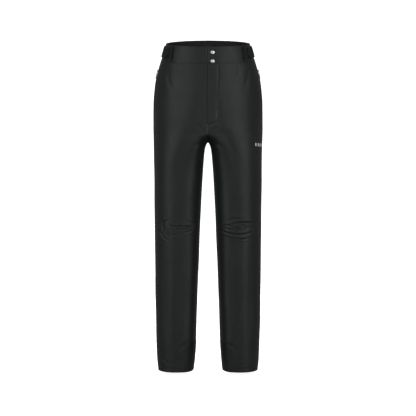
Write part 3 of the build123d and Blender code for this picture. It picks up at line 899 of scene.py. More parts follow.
@dataclass
class Shell:
    """The four long panels of cloth, each in one piece from the waistband to the hem."""

    finishes: Finishes
    slot_half: float = 4.0
    columns: int = 84

    @property
    def levels(self) -> Array:
        """Rows of the grid: close together at the hem and the crotch."""
        return np.concatenate([
            np.arange(0, 15, 1.5), np.arange(15, 400, 3.4), np.arange(400, 490, 2.0),
            np.arange(490, 700, 3.4), np.arange(700, 802, 2.2), np.arange(802, 981, 3.2), [981.0],
        ])

    def front_grid(self, edge: Edge) -> tuple[Array, Array]:
        """Grid of a left front: fixed steps beside the side seam and the pocket, then even ones.

        Args:
            edge: gives the x of the panel's other edge at a height.
        Returns:
            Heights and turns of the grid's points.
        """
        beside = np.concatenate([np.linspace(4.0, -4.0, 9), np.linspace(-5.2, -17, 11)])
        share = np.linspace(0, 1, self.columns)[1:]
        level = self.levels[:, None]
        height = level + np.zeros((1, len(beside) + 3 + len(share)))
        for _ in range(4):
            line = POCKET.y_at(height[:, 3:3 + len(beside)]) + beside
            seam = SEAM_Y + np.linspace(0, 1, 4)[:3] * (line[:, :1] - SEAM_Y)
            near = np.concatenate([seam, line], axis=1)
            fixed = BODY.turn_at_y(height[:, :near.shape[1]], near)
            far = BODY.turn_at_x(height[:, -1], edge(height[:, -1]), -1)
            rest = fixed[:, -1:] + share * (far[:, None] - fixed[:, -1:])
            turn = np.concatenate([fixed, rest], axis=1)
            height = BODY.tilt(level, turn)
        return height, turn

    def dressed(self, height: Array, turn: Array, side: int, slot: bool) -> tuple[Skin, Array, Array]:
        """Cloth over the grid: drape, seams drawn in, small puckers beside them, a rounded hem.

        Args:
            height: heights of the grid's points.
            turn: turns of the grid's points.
            side: 1 on the wearer's left, -1 on the right.
            slot: whether the pocket's slot is cut through.
        Returns:
            The skin, the face side's grid and its outward directions.
        """
        plain = BODY.point(height, turn)
        normal = grid_normals(plain)
        from_side = run_length(plain, 1)
        from_edge = from_side[:, -1:] - from_side
        near = np.minimum(from_side, from_edge)
        relief = DRAPE.relief(plain[..., 0], plain[..., 1], height, side)
        relief = relief * smooth_step(near, 0, 9) * smooth_step(height, 0, 16)
        relief = relief * smooth_step(980 - self.levels[:, None], 0, 12)
        pucker = 0.22 * np.sin(height / 2.1 + 2.0 * np.sin(height / 37.0))
        pucker = pucker * np.exp(-near / 5.0) * smooth_step(near, 0, 3)
        firm = 1 - 0.75 * smooth_step(height, 690, 716) * (from_edge < from_side)
        drawn = firm * (0.35 * np.exp(-(((near - 5.0) / 2.6) ** 2)) - 0.8 * np.exp(-((near / 2.2) ** 2)))
        hem = -0.9 * np.exp(-((height / 1.3) ** 2)) - 0.45 * np.exp(-(((height - 12.0) / 1.8) ** 2))
        relief = relief + pucker + drawn + hem
        if slot and side > 0:
            relief = relief - root_valley(plain[..., 0], height)
        keep = None
        if slot:
            off = np.abs(plain[..., 1] - POCKET.y_at(height))
            inside = (height > 824.0) & (height < 956.5)
            relief = np.where((off < 12) & inside, np.minimum(relief, 0.2), relief)
            cell = 0.25 * (off[:-1, :-1] + off[1:, :-1] + off[:-1, 1:] + off[1:, 1:])
            level = 0.5 * (height[:-1, :-1] + height[1:, :-1])
            keep = ~((cell < self.slot_half - 0.3) & (level > 826.0) & (level < 954.5))
        outer = plain + normal * relief[..., None]
        inner = outer - normal * WALL
        for grid in (outer, inner):
            grid[..., 0] = np.maximum(grid[..., 0], 0.0)
            grid[:, -1, 0] = np.where(plain[:, -1, 0] < 1.0, 0.0, grid[:, -1, 0])
        worn = 0.4 * firm * np.exp(-near / 1.6) + 0.5 * np.exp(-height / 2.5)
        skin = closed_sheet(outer, inner, keep, worn)
        if slot:
            column = np.arange(cell.shape[1])
            # round each pocket slot and out to the side seam the panel takes the black zip tape: partly the
            # zip's own edge, partly painted shade along the silhouette
            slot_edge_and_painted_shade = ((cell < self.slot_half + 7.5) | (column < 4)) & (level > 823.0) & (level < 957.5)
            skin.slots[:keep.sum()][slot_edge_and_painted_shade[keep]] = 2
        return skin, outer, normal

    def build(self) -> None:
        """Make the panels and their rows of stitching."""
        for name, side in SIDES:
            edge = fly_edge_x if side > 0 else lap_edge_x
            behind = grid_between(self.levels, at_y(SEAM_Y), at_x(0.0, 1), self.columns + 14)
            grids = {"front": self.front_grid(edge), "back": behind}
            rows: list[Skin] = []
            for face, (height, turn) in grids.items():
                skin, outer, normal = self.dressed(height, turn, side, face == "front")
                piece = make(f"{face}_panel_{name}", skin.on_side(side),
                             [self.finishes.shell, self.finishes.fleece, self.finishes.tape],
                             (f"{face}_{name}", f"knee_{face}_{name}", f"shin_{face}_{name}"),
                             blend=("seat", f"shin_{name}"))
                rows += self.stitching(face, outer, normal, side)
            make(f"shell_stitching_{name}", Skin.joined(rows).on_side(side), [self.finishes.thread],
                 blend=("seat", f"shin_{name}"))

    def stitching(self, face: str, outer: Array, normal: Array, side: int) -> list[Skin]:
        """Topstitching of one panel: hem, beside the side seam, and the fly's double J.

        Args:
            face: front or back.
            outer: grid of the panel's face side.
            normal: its outward directions.
            side: 1 on the wearer's left, which carries the J, -1 on the right.
        Returns:
            The rows of stitches.
        """
        hem = int(np.argmin(np.abs(self.levels - 12.0)))
        under_band = len(self.levels) - 2
        rows = [stitch_row(outer[hem], normal[hem]), stitch_row(outer[under_band], normal[under_band])]
        if face == "front":
            rows.append(stitch_row(outer[hem:, 2], normal[hem:, 2]))
            start = int(np.argmin(np.abs(self.levels - FLY_FOOT - 2.0)))
            if side > 0:
                rows += [stitch_row(outer[start:, k], normal[start:, k]) for k in (-2, -5)]
        else:
            rows.append(stitch_row(outer[hem:, -2], normal[hem:, -2]))
        return rows


# ------------------------------------------------------------------ waistband
@dataclass
class Waistband:
    """The shaped band, its brushed facing and the underlap behind the snaps."""

    finishes: Finishes
    roll: float = 1.1
    lap_gap: float = 0.4

    @property
    def levels(self) -> Array:
        """Rows from the seam up to the edge, close together where the cloth rolls over."""
        drop = [[0, 0.25, 0.6, 1.1, 1.8], np.arange(3, 50, 1.9), [50.4, 51.0, 51.5, 51.8, BAND_HEIGHT]]
        drop = np.concatenate(drop)
        return WAIST_HEIGHT - drop[::-1]

    def panel(self, name: str, first: Edge, last: Edge, columns: int, node: str, body: str,
              side: int = 1, butted: int | None = None) -> list[Skin]:
        """One length of the band, with rolled edges and the pull of its stitching.

        Args:
            name: name of the piece.
            first: edge of its first column.
            last: edge of its last column.
            columns: number of columns.
            node: CAD node it stands for.
            body: body it rides on.
            side: 1 on the wearer's left, -1 on the right.
            butted: column at which it meets its neighbour without a rolled edge, if any.
        Returns:
            Its two rows of stitching.
        """
        height, turn = grid_between(self.levels, first, last, columns)
        plain = BODY.point(height, turn)
        near = edge_distance(plain, butted)
        drop = (WAIST_HEIGHT - self.levels)[:, None]
        pull = -0.3 * np.exp(-(((drop - 4.0) / 1.3) ** 2)) - 0.3 * np.exp(-(((drop - 48.0) / 1.3) ** 2))
        wave = 0.16 * np.sin(plain[..., 0] / 9.0 + drop / 11.0)
        wave = wave + 0.1 * np.sin(plain[..., 1] / 5.0 - drop / 7.0)
        lift = 0.9 * np.exp(-(((plain[..., 0] - FLY_FREE) / 4.0) ** 2)) if body != "seat" else 0.0
        outer = (pull + wave - 0.25) * smooth_step(near, 0, 3) - rounded(near, self.roll) + lift
        skin, face, normal = layered(height, turn, outer, -WALL, 0.6 * np.exp(-near / 1.2))
        piece = make(name, skin.on_side(side), [self.finishes.band, self.finishes.facing],
                     (node,), body)
        rows = [int(np.argmin(np.abs(drop - at))) for at in (48.0, 4.0)]
        return [stitch_row(face[k, 1:-1], normal[k, 1:-1]).on_side(side) for k in rows]

    def build(self) -> None:
        """Make the lengths of the band, the facings and the underlap."""
        edge = -FLY_FREE + self.lap_gap
        rows = self.panel("waistband_front_left_cloth", at_y(SEAM_Y), at_x(FLY_ROOT + 0.1), 90,
                          "waistband_front_left", "seat", butted=-1)
        rows += self.panel("waistband_front_right_cloth", at_y(SEAM_Y), at_x(edge), 110,
                           "waistband_front_right", "seat", -1)
        for name, side in SIDES:
            rows += self.panel(f"waistband_back_{name}_cloth", at_y(SEAM_Y + 0.2), at_x(0.1, 1), 110,
                               f"waistband_back_{name}", "seat", side)
        make("waistband_stitching", Skin.joined(rows), [self.finishes.thread], body="seat")
        tab = self.panel("waistband_tab_cloth", at_x(FLY_ROOT - 0.2), at_x(FLY_FREE), 44,
                         "waistband_tab", "fly_edge", butted=0)
        make("waistband_tab_stitching", Skin.joined(tab), [self.finishes.thread],
             body="fly_edge")
        levels = WAIST_HEIGHT - np.concatenate([np.arange(52, 2, -2.0), [1.6, 1.2]])
        for name, side in SIDES:
            first = FLY_ROOT + 0.4 if side > 0 else edge
            height, turn = grid_between(levels, at_x(first), at_x(0.1, 1), 150)
            plain = BODY.point(height, turn)
            wave = 0.12 * np.sin(plain[..., 0] / 6.0) * np.sin(height / 5.0)
            skin, face, _ = layered(height, turn, -2.6, -3.7 + wave)
            piece = make(f"facing_{name}_cloth", skin.on_side(side), [self.finishes.facing] * 2,
                         (f"facing_{name}",), "seat")
        height, turn = grid_between(WAIST_HEIGHT - np.arange(52, 1.9, -1.5), at_x(29.0), at_x(-24.0), 40)
        near = edge_distance(BODY.point(height, turn))
        skin, face, _ = layered(height, turn, -4.2 - rounded(near, 0.8), -6.0 + rounded(near, 0.6))
        piece = make("waistband_underlap_cloth", skin, [self.finishes.band, self.finishes.facing],
                     ("waistband_underlap",), "seat")


# ------------------------------------------------------------------ fly
@dataclass(frozen=True)
class FlyPlane:
    """The straight, slightly leaning plane of the front opening."""

    foot: float = 954.0
    lean: float = 0.045

    def point(self, x: Array, v: Array, w: Array | float) -> Array:
        """Point across, up and out of the plane."""
        length = math.hypot(1.0, self.lean)
        y = -(100 + (1006 - self.foot) * self.lean) + (v * self.lean - w) / length
        z = self.foot - WAIST_HEIGHT + (v + w * self.lean) / length
        return np.stack(np.broadcast_arrays(x, y, z), -1)

    @property
    def out(self) -> Array:
        """Outward direction."""
        return unit(np.array([0.0, -1.0, self.lean]))

    @property
    def up(self) -> Array:
        """Direction up the front."""
        return unit(np.array([0.0, self.lean, 1.0]))


def coil(middles: Array, along: Array, across: Array, out: Array, reach: float, pitch: float) -> Skin:
    """Two interlocked rows of coil turns: alternate short bars either side of the middle.

    Args:
        middles: points along the chain, one pitch apart.
        along: direction of the chain at each point.
        across: direction across the chain.
        out: outward direction at each point.
        reach: half the width of the chain.
        pitch: distance between turns.
    Returns:
        The skin of both rows.
    """
    side = np.broadcast_to(across, middles.shape)
    offset, turn = 0.36 * reach * side, (1.28 * reach, 0.42 * pitch)
    left = capsules(middles + offset, side, out, *turn)
    right = capsules(middles - offset + 0.5 * pitch * along, side, out, *turn)
    return Skin.joined([left, right])


@dataclass
class Fly:
    """The lapped front opening: strip, guard, zip and snaps."""

    finishes: Finishes
    plane: FlyPlane = field(default_factory=FlyPlane)
    chain_x: float = 12.0
    snap_x: float = 14.0
    snap_heights: tuple[float, float] = (989.0, 962.0)
    snap_steps: int = 40

    def build(self) -> None:
        """Make every piece of the opening."""
        self._flap()
        self._tapes()
        self._snaps()

    def _flap(self) -> None:
        """The lapped strip: its free edge is folded under and stands a little proud."""
        levels = [np.arange(FLY_FOOT + 0.4, 802, 1.3), np.arange(802, 980, 3.0), [979.6, 981.0]]
        levels = np.concatenate(levels)
        share = np.concatenate([[0, 0.01, 0.025, 0.05], np.linspace(0.08, 0.98, 34), [1.0]])
        root = fly_edge_x(levels)[:, None] - 0.35
        x = FLY_FREE + share * (root - FLY_FREE)
        height = levels[:, None] + 0 * x
        for _ in range(4):
            turn = BODY.turn_at_x(height, x, -1)
            height = BODY.tilt(levels[:, None], turn)
        plain = BODY.point(height, turn)
        from_free, from_root = x - FLY_FREE, root - x
        near = np.minimum(from_free, from_root)
        relief = DRAPE.relief(plain[..., 0], plain[..., 1], height, 1) * smooth_step(near, 0, 6)
        fold = 0.55 * np.exp(-((from_free / 4.5) ** 2)) - rounded(from_free, 0.9)
        fold = fold - 0.22 * np.exp(-((from_root / 2.2) ** 2))
        fold = fold + 0.15 * np.sin(height / 3.1) * np.exp(-from_free / 6.0) - root_valley(x, height)
        skin, face, normal = layered(height, turn, relief + fold, -WALL, 0.9 * np.exp(-from_free / 1.3))
        piece = make("fly_flap_cloth", skin, [self.finishes.shell, self.finishes.fleece],
                     ("fly_flap",), "fly_edge")
        edge = int(np.argmin(np.abs(x[-1] - FLY_FREE - 4.0)))
        above_curve = 22
        stitches = stitch_row(face[above_curve:, edge], normal[above_curve:, edge])
        make("fly_flap_stitching", stitches, [self.finishes.thread], body="fly_edge")

    def _strip(self, low: float, high: float, foot: float, head: float, top: float, back: float,
               ripple: float) -> tuple[Skin, Array]:
        """Flat strip in the plane of the opening, a little rippled down its length.

        Args:
            low: x of its first edge.
            high: x of its last edge.
            foot: where it starts, up the plane.
            head: where it ends.
            top: how far its face side is out of the plane.
            back: how far its back is.
            ripple: height of its waves.
        Returns:
            The skin and the face side's grid.
        """
        v, x = np.meshgrid(np.arange(foot, head, 2.0), np.linspace(low, high, 9), indexing="ij")
        wave = ripple * np.sin(v / 6.0 + x / 9.0)
        face = self.plane.point(x, v, top + wave)
        return closed_sheet(face, self.plane.point(x, v, back + wave)), face

    def _tapes(self) -> None:
        """The guard, both tapes and the coil chain."""
        skin, face = self._strip(-20, 30, -187, -3, -9.4, -10.6, 0.25)
        guard = make("fly_guard_cloth", skin, [self.finishes.shell, self.finishes.fleece],
                     ("fly_guard",), "seat")
        left, left_face = self._strip(-14, 9, -181, -3, -6.7, -7.3, 0.05)
        right, right_face = self._strip(15, 38, -181, -3, -6.7, -7.3, 0.05)
        tapes = make("fly_tapes_cloth", Skin.joined([left, right]), [self.finishes.tape, self.finishes.tape],
                     ("fly_tapes",), "seat")
        v = np.arange(-175, -6, 1.5)
        middles = self.plane.point(np.full(len(v), self.chain_x), v, -6.7)
        out = np.broadcast_to(self.plane.out, middles.shape)
        core, _ = self._strip(9.3, 14.7, -176, -5, -7.0, -7.8, 0.0)
        chain = coil(middles, self.plane.up, np.array([1.0, 0, 0]), out, 3.0, 1.5)
        make("fly_coil", Skin.joined([core, chain]), [self.finishes.coil, self.finishes.coil],
             ("fly_chain",), "seat")

    def _snaps(self) -> None:
        """Pressed snap caps: a polished dome inside a rolled ring in black enamel, which is painted shade
        round the dome.
        """
        profile = np.array([
            (0.05, 2.35), (1.6, 2.3), (3.1, 2.1), (4.4, 1.7), (5.4, 1.15), (5.9, 0.6), (6.1, 0.25),
            (6.35, 0.2), (6.7, 0.65), (7.15, 0.72), (7.5, 0.4), (7.55, -0.1), (6.8, -0.3), (0.05, -0.3),
        ])
        caps, dome = [], 6  # sections of the dome, before the ring
        for level in self.snap_heights:
            turn = float(BODY.turn_at_x(np.array(level), self.snap_x, -1))
            centre, along, up, out = BODY.frame_at(turn, level)
            cap = turned(profile, centre + 0.15 * out, along, up, out, self.snap_steps)
            section = np.arange(len(cap.slots)) // self.snap_steps
            # the ring's sections take black enamel: painted shade round the polished dome
            cap.slots[(section >= dome) & (section < len(profile) - 1)] = 1
            caps.append(cap)
        make("snap_caps_domed", Skin.joined(caps), [self.finishes.silver, self.finishes.enamel],
             ("snap_caps",), "fly_edge", sharp=60)


# ------------------------------------------------------------------ hand pockets
@dataclass
class HandPocket:
    """One zipped side pocket: tape, coil and the mesh bag inside."""

    finishes: Finishes
    name: str
    side: int

    def build(self) -> None:
        """Make the pieces that the side's pocket has."""
        angle = POCKET.angles(2.5)
        a, c = np.meshgrid(angle, np.linspace(-8, 8, 9), indexing="ij")
        face = POCKET.point(np.full(a.shape, -4.0), a) + c[..., None] * POCKET.across
        back = POCKET.point(np.full(a.shape, -4.8), a) + c[..., None] * POCKET.across
        tape = self._make("tape", closed_sheet(face, back), self.finishes.tape, "zip_tape", "pocket_tape")
        spots = POCKET.angles(1.4, 2.0)
        middles = POCKET.point(np.full(len(spots), -2.75), spots)
        out, along = POCKET.out(spots), unit(np.gradient(middles, axis=0))
        chain = coil(middles, along, POCKET.across, out, 2.7, 1.4)
        a, c = np.meshgrid(POCKET.angles(2.5, 1.5), np.linspace(-2.5, 2.5, 4), indexing="ij")
        core = closed_sheet(
            POCKET.point(np.full(a.shape, -3.1), a) + c[..., None] * POCKET.across,
            POCKET.point(np.full(a.shape, -3.9), a) + c[..., None] * POCKET.across,
        )
        self._make("coil", Skin.joined([core, chain]), self.finishes.coil, "coil", "pocket_chain")
        height, turn = grid_between(np.arange(801, 940, 3.0), at_y(1.0), at_x(76.0), 60)
        plain = BODY.point(height, turn)
        wave = 0.5 * np.sin(plain[..., 0] / 11.0 + height / 19.0) * smooth_step(edge_distance(plain), 0, 10)
        skin, face, _ = layered(height, turn, -6.9 + wave, -8.5 + wave)
        bag = self._make("bag", skin, self.finishes.mesh, "pocket_mesh", "pocket_bag")

    def _make(self, part: str, skin: Skin, finish: bpy.types.Material, slot: str,
              node: str) -> bpy.types.Object:
        """One piece of the pocket, on its side."""
        return make(f"pocket_{part}_{self.name}_cloth", skin.on_side(self.side), [finish] * 2,
                    (f"{node}_{self.name}",), "seat")


# ------------------------------------------------------------------ waist adjusters, loops and marks
@dataclass
class WaistTab:
    """A side tab with its hook patch, and the loop patch on the band."""

    finishes: Finishes
    name: str
    side: int
    middle: float = 26.0
    half: float = 17.0
    corner: float = 9.0
    tip: float = -50.0
    root: float = 40.0
    columns: int = 54

    def build(self) -> None:
        """Make the tab, its stitching and both patches."""
        from_tip = np.linspace(0, self.root - self.tip, self.columns)
        half = self.half - rounded(from_tip, self.corner)
        levels = WAIST_HEIGHT - self.middle + np.linspace(-1, 1, 27)[:, None] * half
        height, turn = grid_between(levels, at_y(self.tip), at_y(self.root), self.columns)
        near = edge_distance(BODY.point(height, turn))
        pull = -0.3 * np.exp(-(((near - 3.0) / 1.2) ** 2)) + 0.2 * smooth_step(near, 4, 10)
        skin, face, normal = layered(height, turn, 3.75 + pull - rounded(near, 1.0),
                                     1.95 + rounded(near, 0.5), np.exp(-near / 1.3))
        tab = self._make("waist_tab_cloth", skin, self.finishes.webbing, "webbing", "waist_tab", "tab")
        rows = [stitch_row(face[k, 3:-1], normal[k, 3:-1]) for k in (2, -3)]
        rows += [stitch_row(face[3:-3, k], normal[3:-3, k]) for k in (3, -5, -9)]
        make(f"waist_tab_stitching_{self.name}", Skin.joined(rows).on_side(self.side),
             [self.finishes.thread], body=f"tab_{self.name}")
        for part, node, body, finish, slot, span, low, high in (
            ("loop_patch_pile", "loop_patch", "seat", self.finishes.pile, "loop", (-60.0, -12.0), 0.05, 0.95),
            ("hook_patch_hooks", "hook_patch", "tab", self.finishes.hooks, "hook", (-46.0, -14.0), 1.3, 1.8),
        ):
            levels = WAIST_HEIGHT - np.arange(40, 11.9, -1.0)
            height, turn = grid_between(levels, at_y(span[0]), at_y(span[1]), 44)
            near = edge_distance(BODY.point(height, turn))
            fuzz = 0.08 * np.sin(height * 2.3) * np.sin(turn * 260.0)
            skin, face, _ = layered(height, turn, high + fuzz - rounded(near, 0.4), low)
            patch = self._make(part, skin, finish, slot, node, body)

    def _make(self, part: str, skin: Skin, finish: bpy.types.Material, slot: str, node: str,
              body: str) -> bpy.types.Object:
        """One piece of the adjuster, on its side."""
        rides = body if body == "seat" else f"{body}_{self.name}"
        return make(f"{part}_{self.name}", skin.on_side(self.side), [finish] * 2,
                    (f"{node}_{self.name}",), rides)


def ribbon(centre: Array, along: Array, up: Array, out: Array, run: Array, proud: Array, width: float,
           thick: float) -> Skin:
    """Narrow strap: a squarish oval section, a sine and a cosine to small powers, carried along a path.

    Args:
        centre: middle of the strap's place.
        along: direction across the strap.
        up: direction of its length.
        out: outward direction.
        run: distance of each section from the middle, along the length.
        proud: distance of each section off the surface.
        width: width of the strap.
        thick: its thickness.
    Returns:
        The skin.
    """
    angle = np.linspace(0, 2 * np.pi, 20, endpoint=False)
    u = np.sign(np.cos(angle)) * np.abs(np.cos(angle)) ** 0.35 * width / 2
    w = np.sign(np.sin(angle)) * np.abs(np.sin(angle)) ** 0.7 * thick / 2
    slope = np.gradient(proud, run)[:, None]
    rise, lean = 1 / np.sqrt(1 + slope**2), -slope / np.sqrt(1 + slope**2)
    rings = (
        centre + u[None, :, None] * along + (run[:, None] + w * lean)[..., None] * up
        + (proud[:, None] + w * rise)[..., None] * out
    )
    return swept(rings)


@dataclass
class Loops:
    """Belt loops round the band, hanger loops inside it and the blank size label."""

    finishes: Finishes
    turns: tuple[float, ...] = (-39.5, -140.5, 60, 120, 90)  # degrees round the band, the back at 90
    width: float = 10.0
    half: float = 24.0
    hanger_width: float = 6.0
    hanger_length: float = 70.0

    @staticmethod
    def band_place(turn: float) -> tuple[Array, Array, Array, Array]:
        """Frame on the middle of the band at a turn in degrees, where the band climbs to the back.

        Args:
            turn: degrees round the band.
        Returns:
            The point with its level, upward and outward directions.
        """
        middle = WAIST_HEIGHT - BAND_HEIGHT / 2
        y, b = BODY.depth(np.array(middle))
        climb = RISE * (float(y) + float(b) * math.sin(math.radians(turn)))
        return BODY.frame_at(math.radians(turn), middle + climb)

    def build(self) -> None:
        """Make the loops with their bar tacks, and the label."""
        run = np.linspace(-self.half, self.half, 61)
        lift = smooth_step(self.half - np.abs(run), 3.5, 8.0)
        straps, tacks = [], []
        for turn in self.turns:
            place = self.band_place(turn)
            straps.append(ribbon(*place, run, 0.7 + 3.0 * lift, self.width, 1.4))
            centre, along, up, out = place
            for v in (-22.6, -21.4, 21.4, 22.6):
                u = np.arange(-4.2, 4.3, 0.7)
                spots = centre + u[:, None] * along + v * up + 1.45 * out
                tacks.append(capsules(spots, np.broadcast_to(unit(up + 0.25 * along), spots.shape),
                                      np.broadcast_to(out, spots.shape), 1.5, 0.34))
        loops = make("belt_loops_webbing", Skin.joined(straps), [self.finishes.webbing],
                     ("belt_loops",), "seat")
        make("belt_loop_tacks", Skin.joined(tacks), [self.finishes.thread], body="seat")
        run = np.linspace(-self.hanger_length / 2, self.hanger_length / 2, 50)
        sag = -5.6 - 0.3 * np.cos(run / 22.0)
        places = [BODY.frame_at(math.radians(turn), 990.0) for turn in (4.0, 176.0)]
        hangers = [ribbon(*place, run, sag, self.hanger_width, 1.1) for place in places]
        hanger = make("hanger_loops_webbing", Skin.joined(hangers), [self.finishes.webbing],
                      ("hanger_loops",), "seat")
        centre, along, up, out = self.band_place(90.0)
        v, u = np.meshgrid(np.linspace(-11, 11, 16), np.linspace(-18, 18, 26), indexing="ij")
        bow = 0.12 * np.sin(u / 6.0) * np.sin(v / 5.0)
        grid = centre + u[..., None] * along + v[..., None] * up
        face = grid + (-5.5 + bow)[..., None] * out
        skin = closed_sheet(face, grid + (-5.1 + bow)[..., None] * out)
        label = make("size_label_woven", skin, [self.finishes.label] * 2, ("size_label",), "seat")


@dataclass
class ReflectiveBars:
    """Four slanting reflective bars, transferred on to the outer thigh."""

    finishes: Finishes
    turns: tuple[float, ...] = (-41, -33, -25, -16)
    level: float = 709.0
    width: float = 6.0
    length: float = 10.0
    slant: float = math.radians(-18)

    def build(self) -> None:
        """Thin films that follow the cloth they are pressed on to."""
        bars = []
        for degrees in self.turns:
            v, u = np.meshgrid(np.linspace(-0.5, 0.5, 12) * self.length,
                               np.linspace(-0.5, 0.5, 8) * self.width, indexing="ij")
            across = u * math.cos(self.slant) - v * math.sin(self.slant)
            height = self.level + u * math.sin(self.slant) + v * math.cos(self.slant)
            turn, level = math.radians(degrees), np.array(self.level)
            step = BODY.point(level, turn + 0.01) - BODY.point(level, turn - 0.01)
            place = BODY.point(height, turn + across * 0.02 / np.linalg.norm(step))
            normal = grid_normals(place)
            relief = DRAPE.relief(place[..., 0], place[..., 1], height, 1)
            top = (relief + 0.32)[..., None] * normal
            bars.append(closed_sheet(place + top, place + top - 0.4 * normal))
        make("reflective_bars_film", Skin.joined(bars), [self.finishes.reflective] * 2,
             ("reflective_bars",), "seat")


# ------------------------------------------------------------------ cuffs
@dataclass
class Cuff:
    """What one hem carries: scuff guard outside, snow cuff with its elastic inside."""

    finishes: Finishes
    name: str
    side: int
    heights: tuple[float, ...] = (22.0, 100.0, 160.0, 195.0)
    growths: tuple[float, ...] = (-16.0, -14.0, -9.0, -3.2)

    def build(self) -> None:
        """Make the guard, the snow cuff and the elastic."""
        height, turn = grid_between(
            np.concatenate([[4, 4.4, 5], np.arange(6.5, 93, 2.5), [94, 94.6, 95]]), at_x(75.0, 1),
            lambda level: 2 * np.pi + BODY.turn_at_x(level, 75.0, -1), 110)
        plain = BODY.point(height, turn)
        near = edge_distance(plain)
        relief = DRAPE.relief(plain[..., 0], plain[..., 1], height, self.side) * smooth_step(height, 0, 16)
        skin, face, normal = layered(height, turn, relief + 0.95 - rounded(near, 0.6), relief + 0.1,
                                     0.6 * np.exp(-near / 2.0) + 0.35 * np.exp(-height / 14.0))
        guard = self._make("scuff_guard", skin, [self.finishes.guard] * 2, "shell")
        rows = [stitch_row(face[k, 3:-3], normal[k, 3:-3]) for k in (4, -5)]
        rows += [stitch_row(face[4:-4, k], normal[4:-4, k]) for k in (3, -4)]
        make(f"scuff_guard_stitching_{self.name}", Skin.joined(rows).on_side(self.side),
             [self.finishes.thread], body=f"shin_{self.name}")
        turns = np.linspace(0, 2 * np.pi, 300, endpoint=False)
        level = np.linspace(22.3, 194.0, 60)
        grow = np.interp(level, self.heights, self.growths)
        # ruffles 38 to the round that fade upwards from the elastic, and slow slack above them
        around, up = np.meshgrid(turns, level)
        ruffle = 1.1 * np.exp(-(up - 22.3) / 26.0) * np.sin(38 * around + 0.6 * np.sin(up / 9.0))
        slack = 0.5 * np.sin(3 * around + up / 21.0) * np.sin(up / 57.0)
        off = grow[:, None] + ruffle + slack
        outer, inner = BODY.point(up, around, off), BODY.point(up, around, off - 1.0)
        loop = np.concatenate([outer, inner[::-1]]).transpose(1, 0, 2)
        gaiter = self._make("gaiter", swept(loop, closed=True), [self.finishes.taffeta], "gaiter")
        profile = np.array([(7.2, -16.6), (8.4, -16.1), (20.2, -16.1), (21.3, -16.6),
                            (21.3, -18.0), (20.2, -18.4), (8.4, -18.4), (7.2, -18.0)])
        up, around = np.meshgrid(profile[:, 0], turns)
        band = BODY.point(up, around, profile[:, 1] + 0.18 * np.sin(150 * around))
        elastic = self._make("gaiter_elastic", swept(band, closed=True), [self.finishes.elastic], "elastic")

    def _make(self, node: str, skin: Skin, materials: list[bpy.types.Material],
              slot: str) -> bpy.types.Object:
        """One piece of the cuff, on its side."""
        return make(f"{node}_{self.name}_cloth", skin.on_side(self.side), materials,
                    (f"{node}_{self.name}",), f"shin_{self.name}")


# ------------------------------------------------------------------ small hardware kept from the CAD
@dataclass
class Hardware:
    """Moulded and cast parts shown as they are, each with its finish."""

    finishes: Finishes

    def build(self) -> None:
        """Dress the sliders, pulls, stops, snaps' inner halves and lace hooks."""
        dressed = {
            self.finishes.enamel: ("fly_slider", "fly_pull", "pocket_slider_left", "pocket_slider_right",
                                   "pocket_pull_left", "pocket_pull_right", "gaiter_hook_left",
                                   "gaiter_hook_right"),
            self.finishes.coil: ("fly_stops",),
            self.finishes.steel: ("snap_sockets", "snap_studs"),
        }
        for material, names in dressed.items():
            for name in names:
                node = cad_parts[name]
                node.data.materials.clear()
                node.data.materials.append(material)
                log.info("%s dressed in %s", name, material.name)


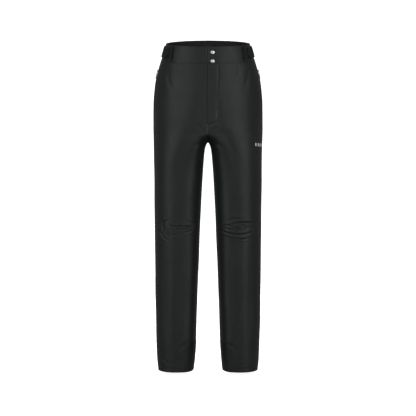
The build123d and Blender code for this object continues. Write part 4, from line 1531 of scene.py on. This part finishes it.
# ------------------------------------------------------------------ studio
@dataclass
class Studio:
    """White seamless sweep, soft light from both sides in front, and the camera; in metres."""

    distance: float = 3.105
    middle: float = -0.5205
    lens: float = 85.0  # mm

    def build(self) -> None:
        """Sweep, white surroundings, lights and camera."""
        self._sweep()
        self._surroundings()
        self._softbox("left_strip", (-2.35, -1.95, 0.0), 38.0, (0.4, 3.2))
        self._softbox("right_strip", (2.1, -2.15, 0.0), 40.0, (0.4, 3.2))
        self._softbox("front_high", (0.0, -3.6, 1.3), 9.0, (2.6, 1.8))
        self._softbox("front_low", (0.0, -3.4, -0.75), 6.0, (1.8, 0.4))
        self._softbox("back_left", (1.9, 2.6, 1.7), 70.0, (1.0, 2.4), False)
        self._softbox("back_right", (-1.9, 2.6, 1.7), 70.0, (1.0, 2.4), False)
        camera = bpy.data.objects.new("camera", bpy.data.cameras.new("camera"))
        camera.data.lens, camera.data.sensor_width = self.lens, 36.0
        camera.location = (0.0, -self.distance, self.middle)
        camera.rotation_euler = (math.radians(90), 0.0, 0.0)
        bpy.context.scene.collection.objects.link(camera)
        bpy.context.scene.camera = camera
        bpy.context.scene.view_settings.view_transform = "Standard"

    def _sweep(self) -> None:
        """Floor that runs back and curves up, as high as a power of the distance; it lights nothing."""
        across, run = np.meshgrid(np.linspace(-7, 7, 3), np.linspace(0, 1, 60), indexing="ij")
        along = -6 + 10.2 * np.clip(run / 0.7, 0, 1)
        rise = np.clip((run - 0.6) / 0.4, 0, 1)
        points = np.stack([across, along, -1.045 + 6.0 * rise**2.2], -1).reshape(-1, 3)
        index = np.arange(len(points)).reshape(across.shape)
        faces = np.stack([index[:-1, :-1], index[1:, :-1], index[1:, 1:], index[:-1, 1:]], -1).reshape(-1, 4)
        mesh = bpy.data.meshes.new("sweep")
        mesh.from_pydata(points.tolist(), [], faces.tolist())
        mesh.shade_smooth()
        sweep = bpy.data.objects.new("sweep", mesh)
        bpy.context.scene.collection.objects.link(sweep)
        # painted board, matte, glowing a little so that it stays pale behind dark cloth
        nodes, shader = new_material("sweep_painted_white")
        shader.inputs["Base Color"].default_value = colour_of("#f6f6f6")
        shader.inputs["Roughness"].default_value = 0.9
        shader.inputs["Emission Color"].default_value = (1.0, 1.0, 1.0, 1.0)
        shader.inputs["Emission Strength"].default_value = 0.92
        mesh.materials.append(nodes.material)
        sweep.visible_glossy = False
        sweep.visible_diffuse = False

    def _surroundings(self) -> None:
        """World that is white to the camera and dim to the cloth."""
        world = bpy.data.worlds.new("surroundings")
        world.use_nodes = True
        tree = world.node_tree
        seen = tree.nodes.new("ShaderNodeLightPath").outputs["Is Camera Ray"]
        strength = tree.nodes.new("ShaderNodeMapRange")
        strength.inputs["To Min"].default_value = 0.19
        tree.links.new(seen, strength.inputs["Value"])
        tree.links.new(strength.outputs[0], tree.nodes["Background"].inputs["Strength"])
        tree.nodes["Background"].inputs["Color"].default_value = (1.0, 1.0, 1.0, 1.0)
        bpy.context.scene.world = world

    def _softbox(self, name: str, place: tuple[float, float, float], power: float,
                 size: tuple[float, float], glossy: bool = True) -> None:
        """Large soft light aimed at the middle of the trousers.

        Args:
            name: name of the light.
            place: where it stands, in metres.
            power: its power in watts.
            size: its width and height in metres.
            glossy: whether it makes highlights.
        """
        data = bpy.data.lights.new(name, "AREA")
        data.shape, data.energy = "RECTANGLE", power
        data.size, data.size_y = size
        light = bpy.data.objects.new(name, data)
        light.location = place
        light.visible_glossy = glossy
        towards = Vector((0.0, 0.0, self.middle)) - Vector(place)
        light.rotation_euler = towards.to_track_quat("-Z", "Y").to_euler()
        bpy.context.scene.collection.objects.link(light)


def main() -> None:
    """Build every sub-assembly in order, then light it; each piece's face count goes to the log."""
    finishes = Finishes()
    parts = [Shell(finishes), Waistband(finishes), Fly(finishes)]
    for name, side in SIDES:
        parts += [part(finishes, name, side) for part in (HandPocket, WaistTab, Cuff)]
    parts += [Loops(finishes), ReflectiveBars(finishes), Hardware(finishes), Studio()]
    for part in parts:
        part.build()
        log.info("built %s", type(part).__name__)


if __name__ == "__main__":
    main()
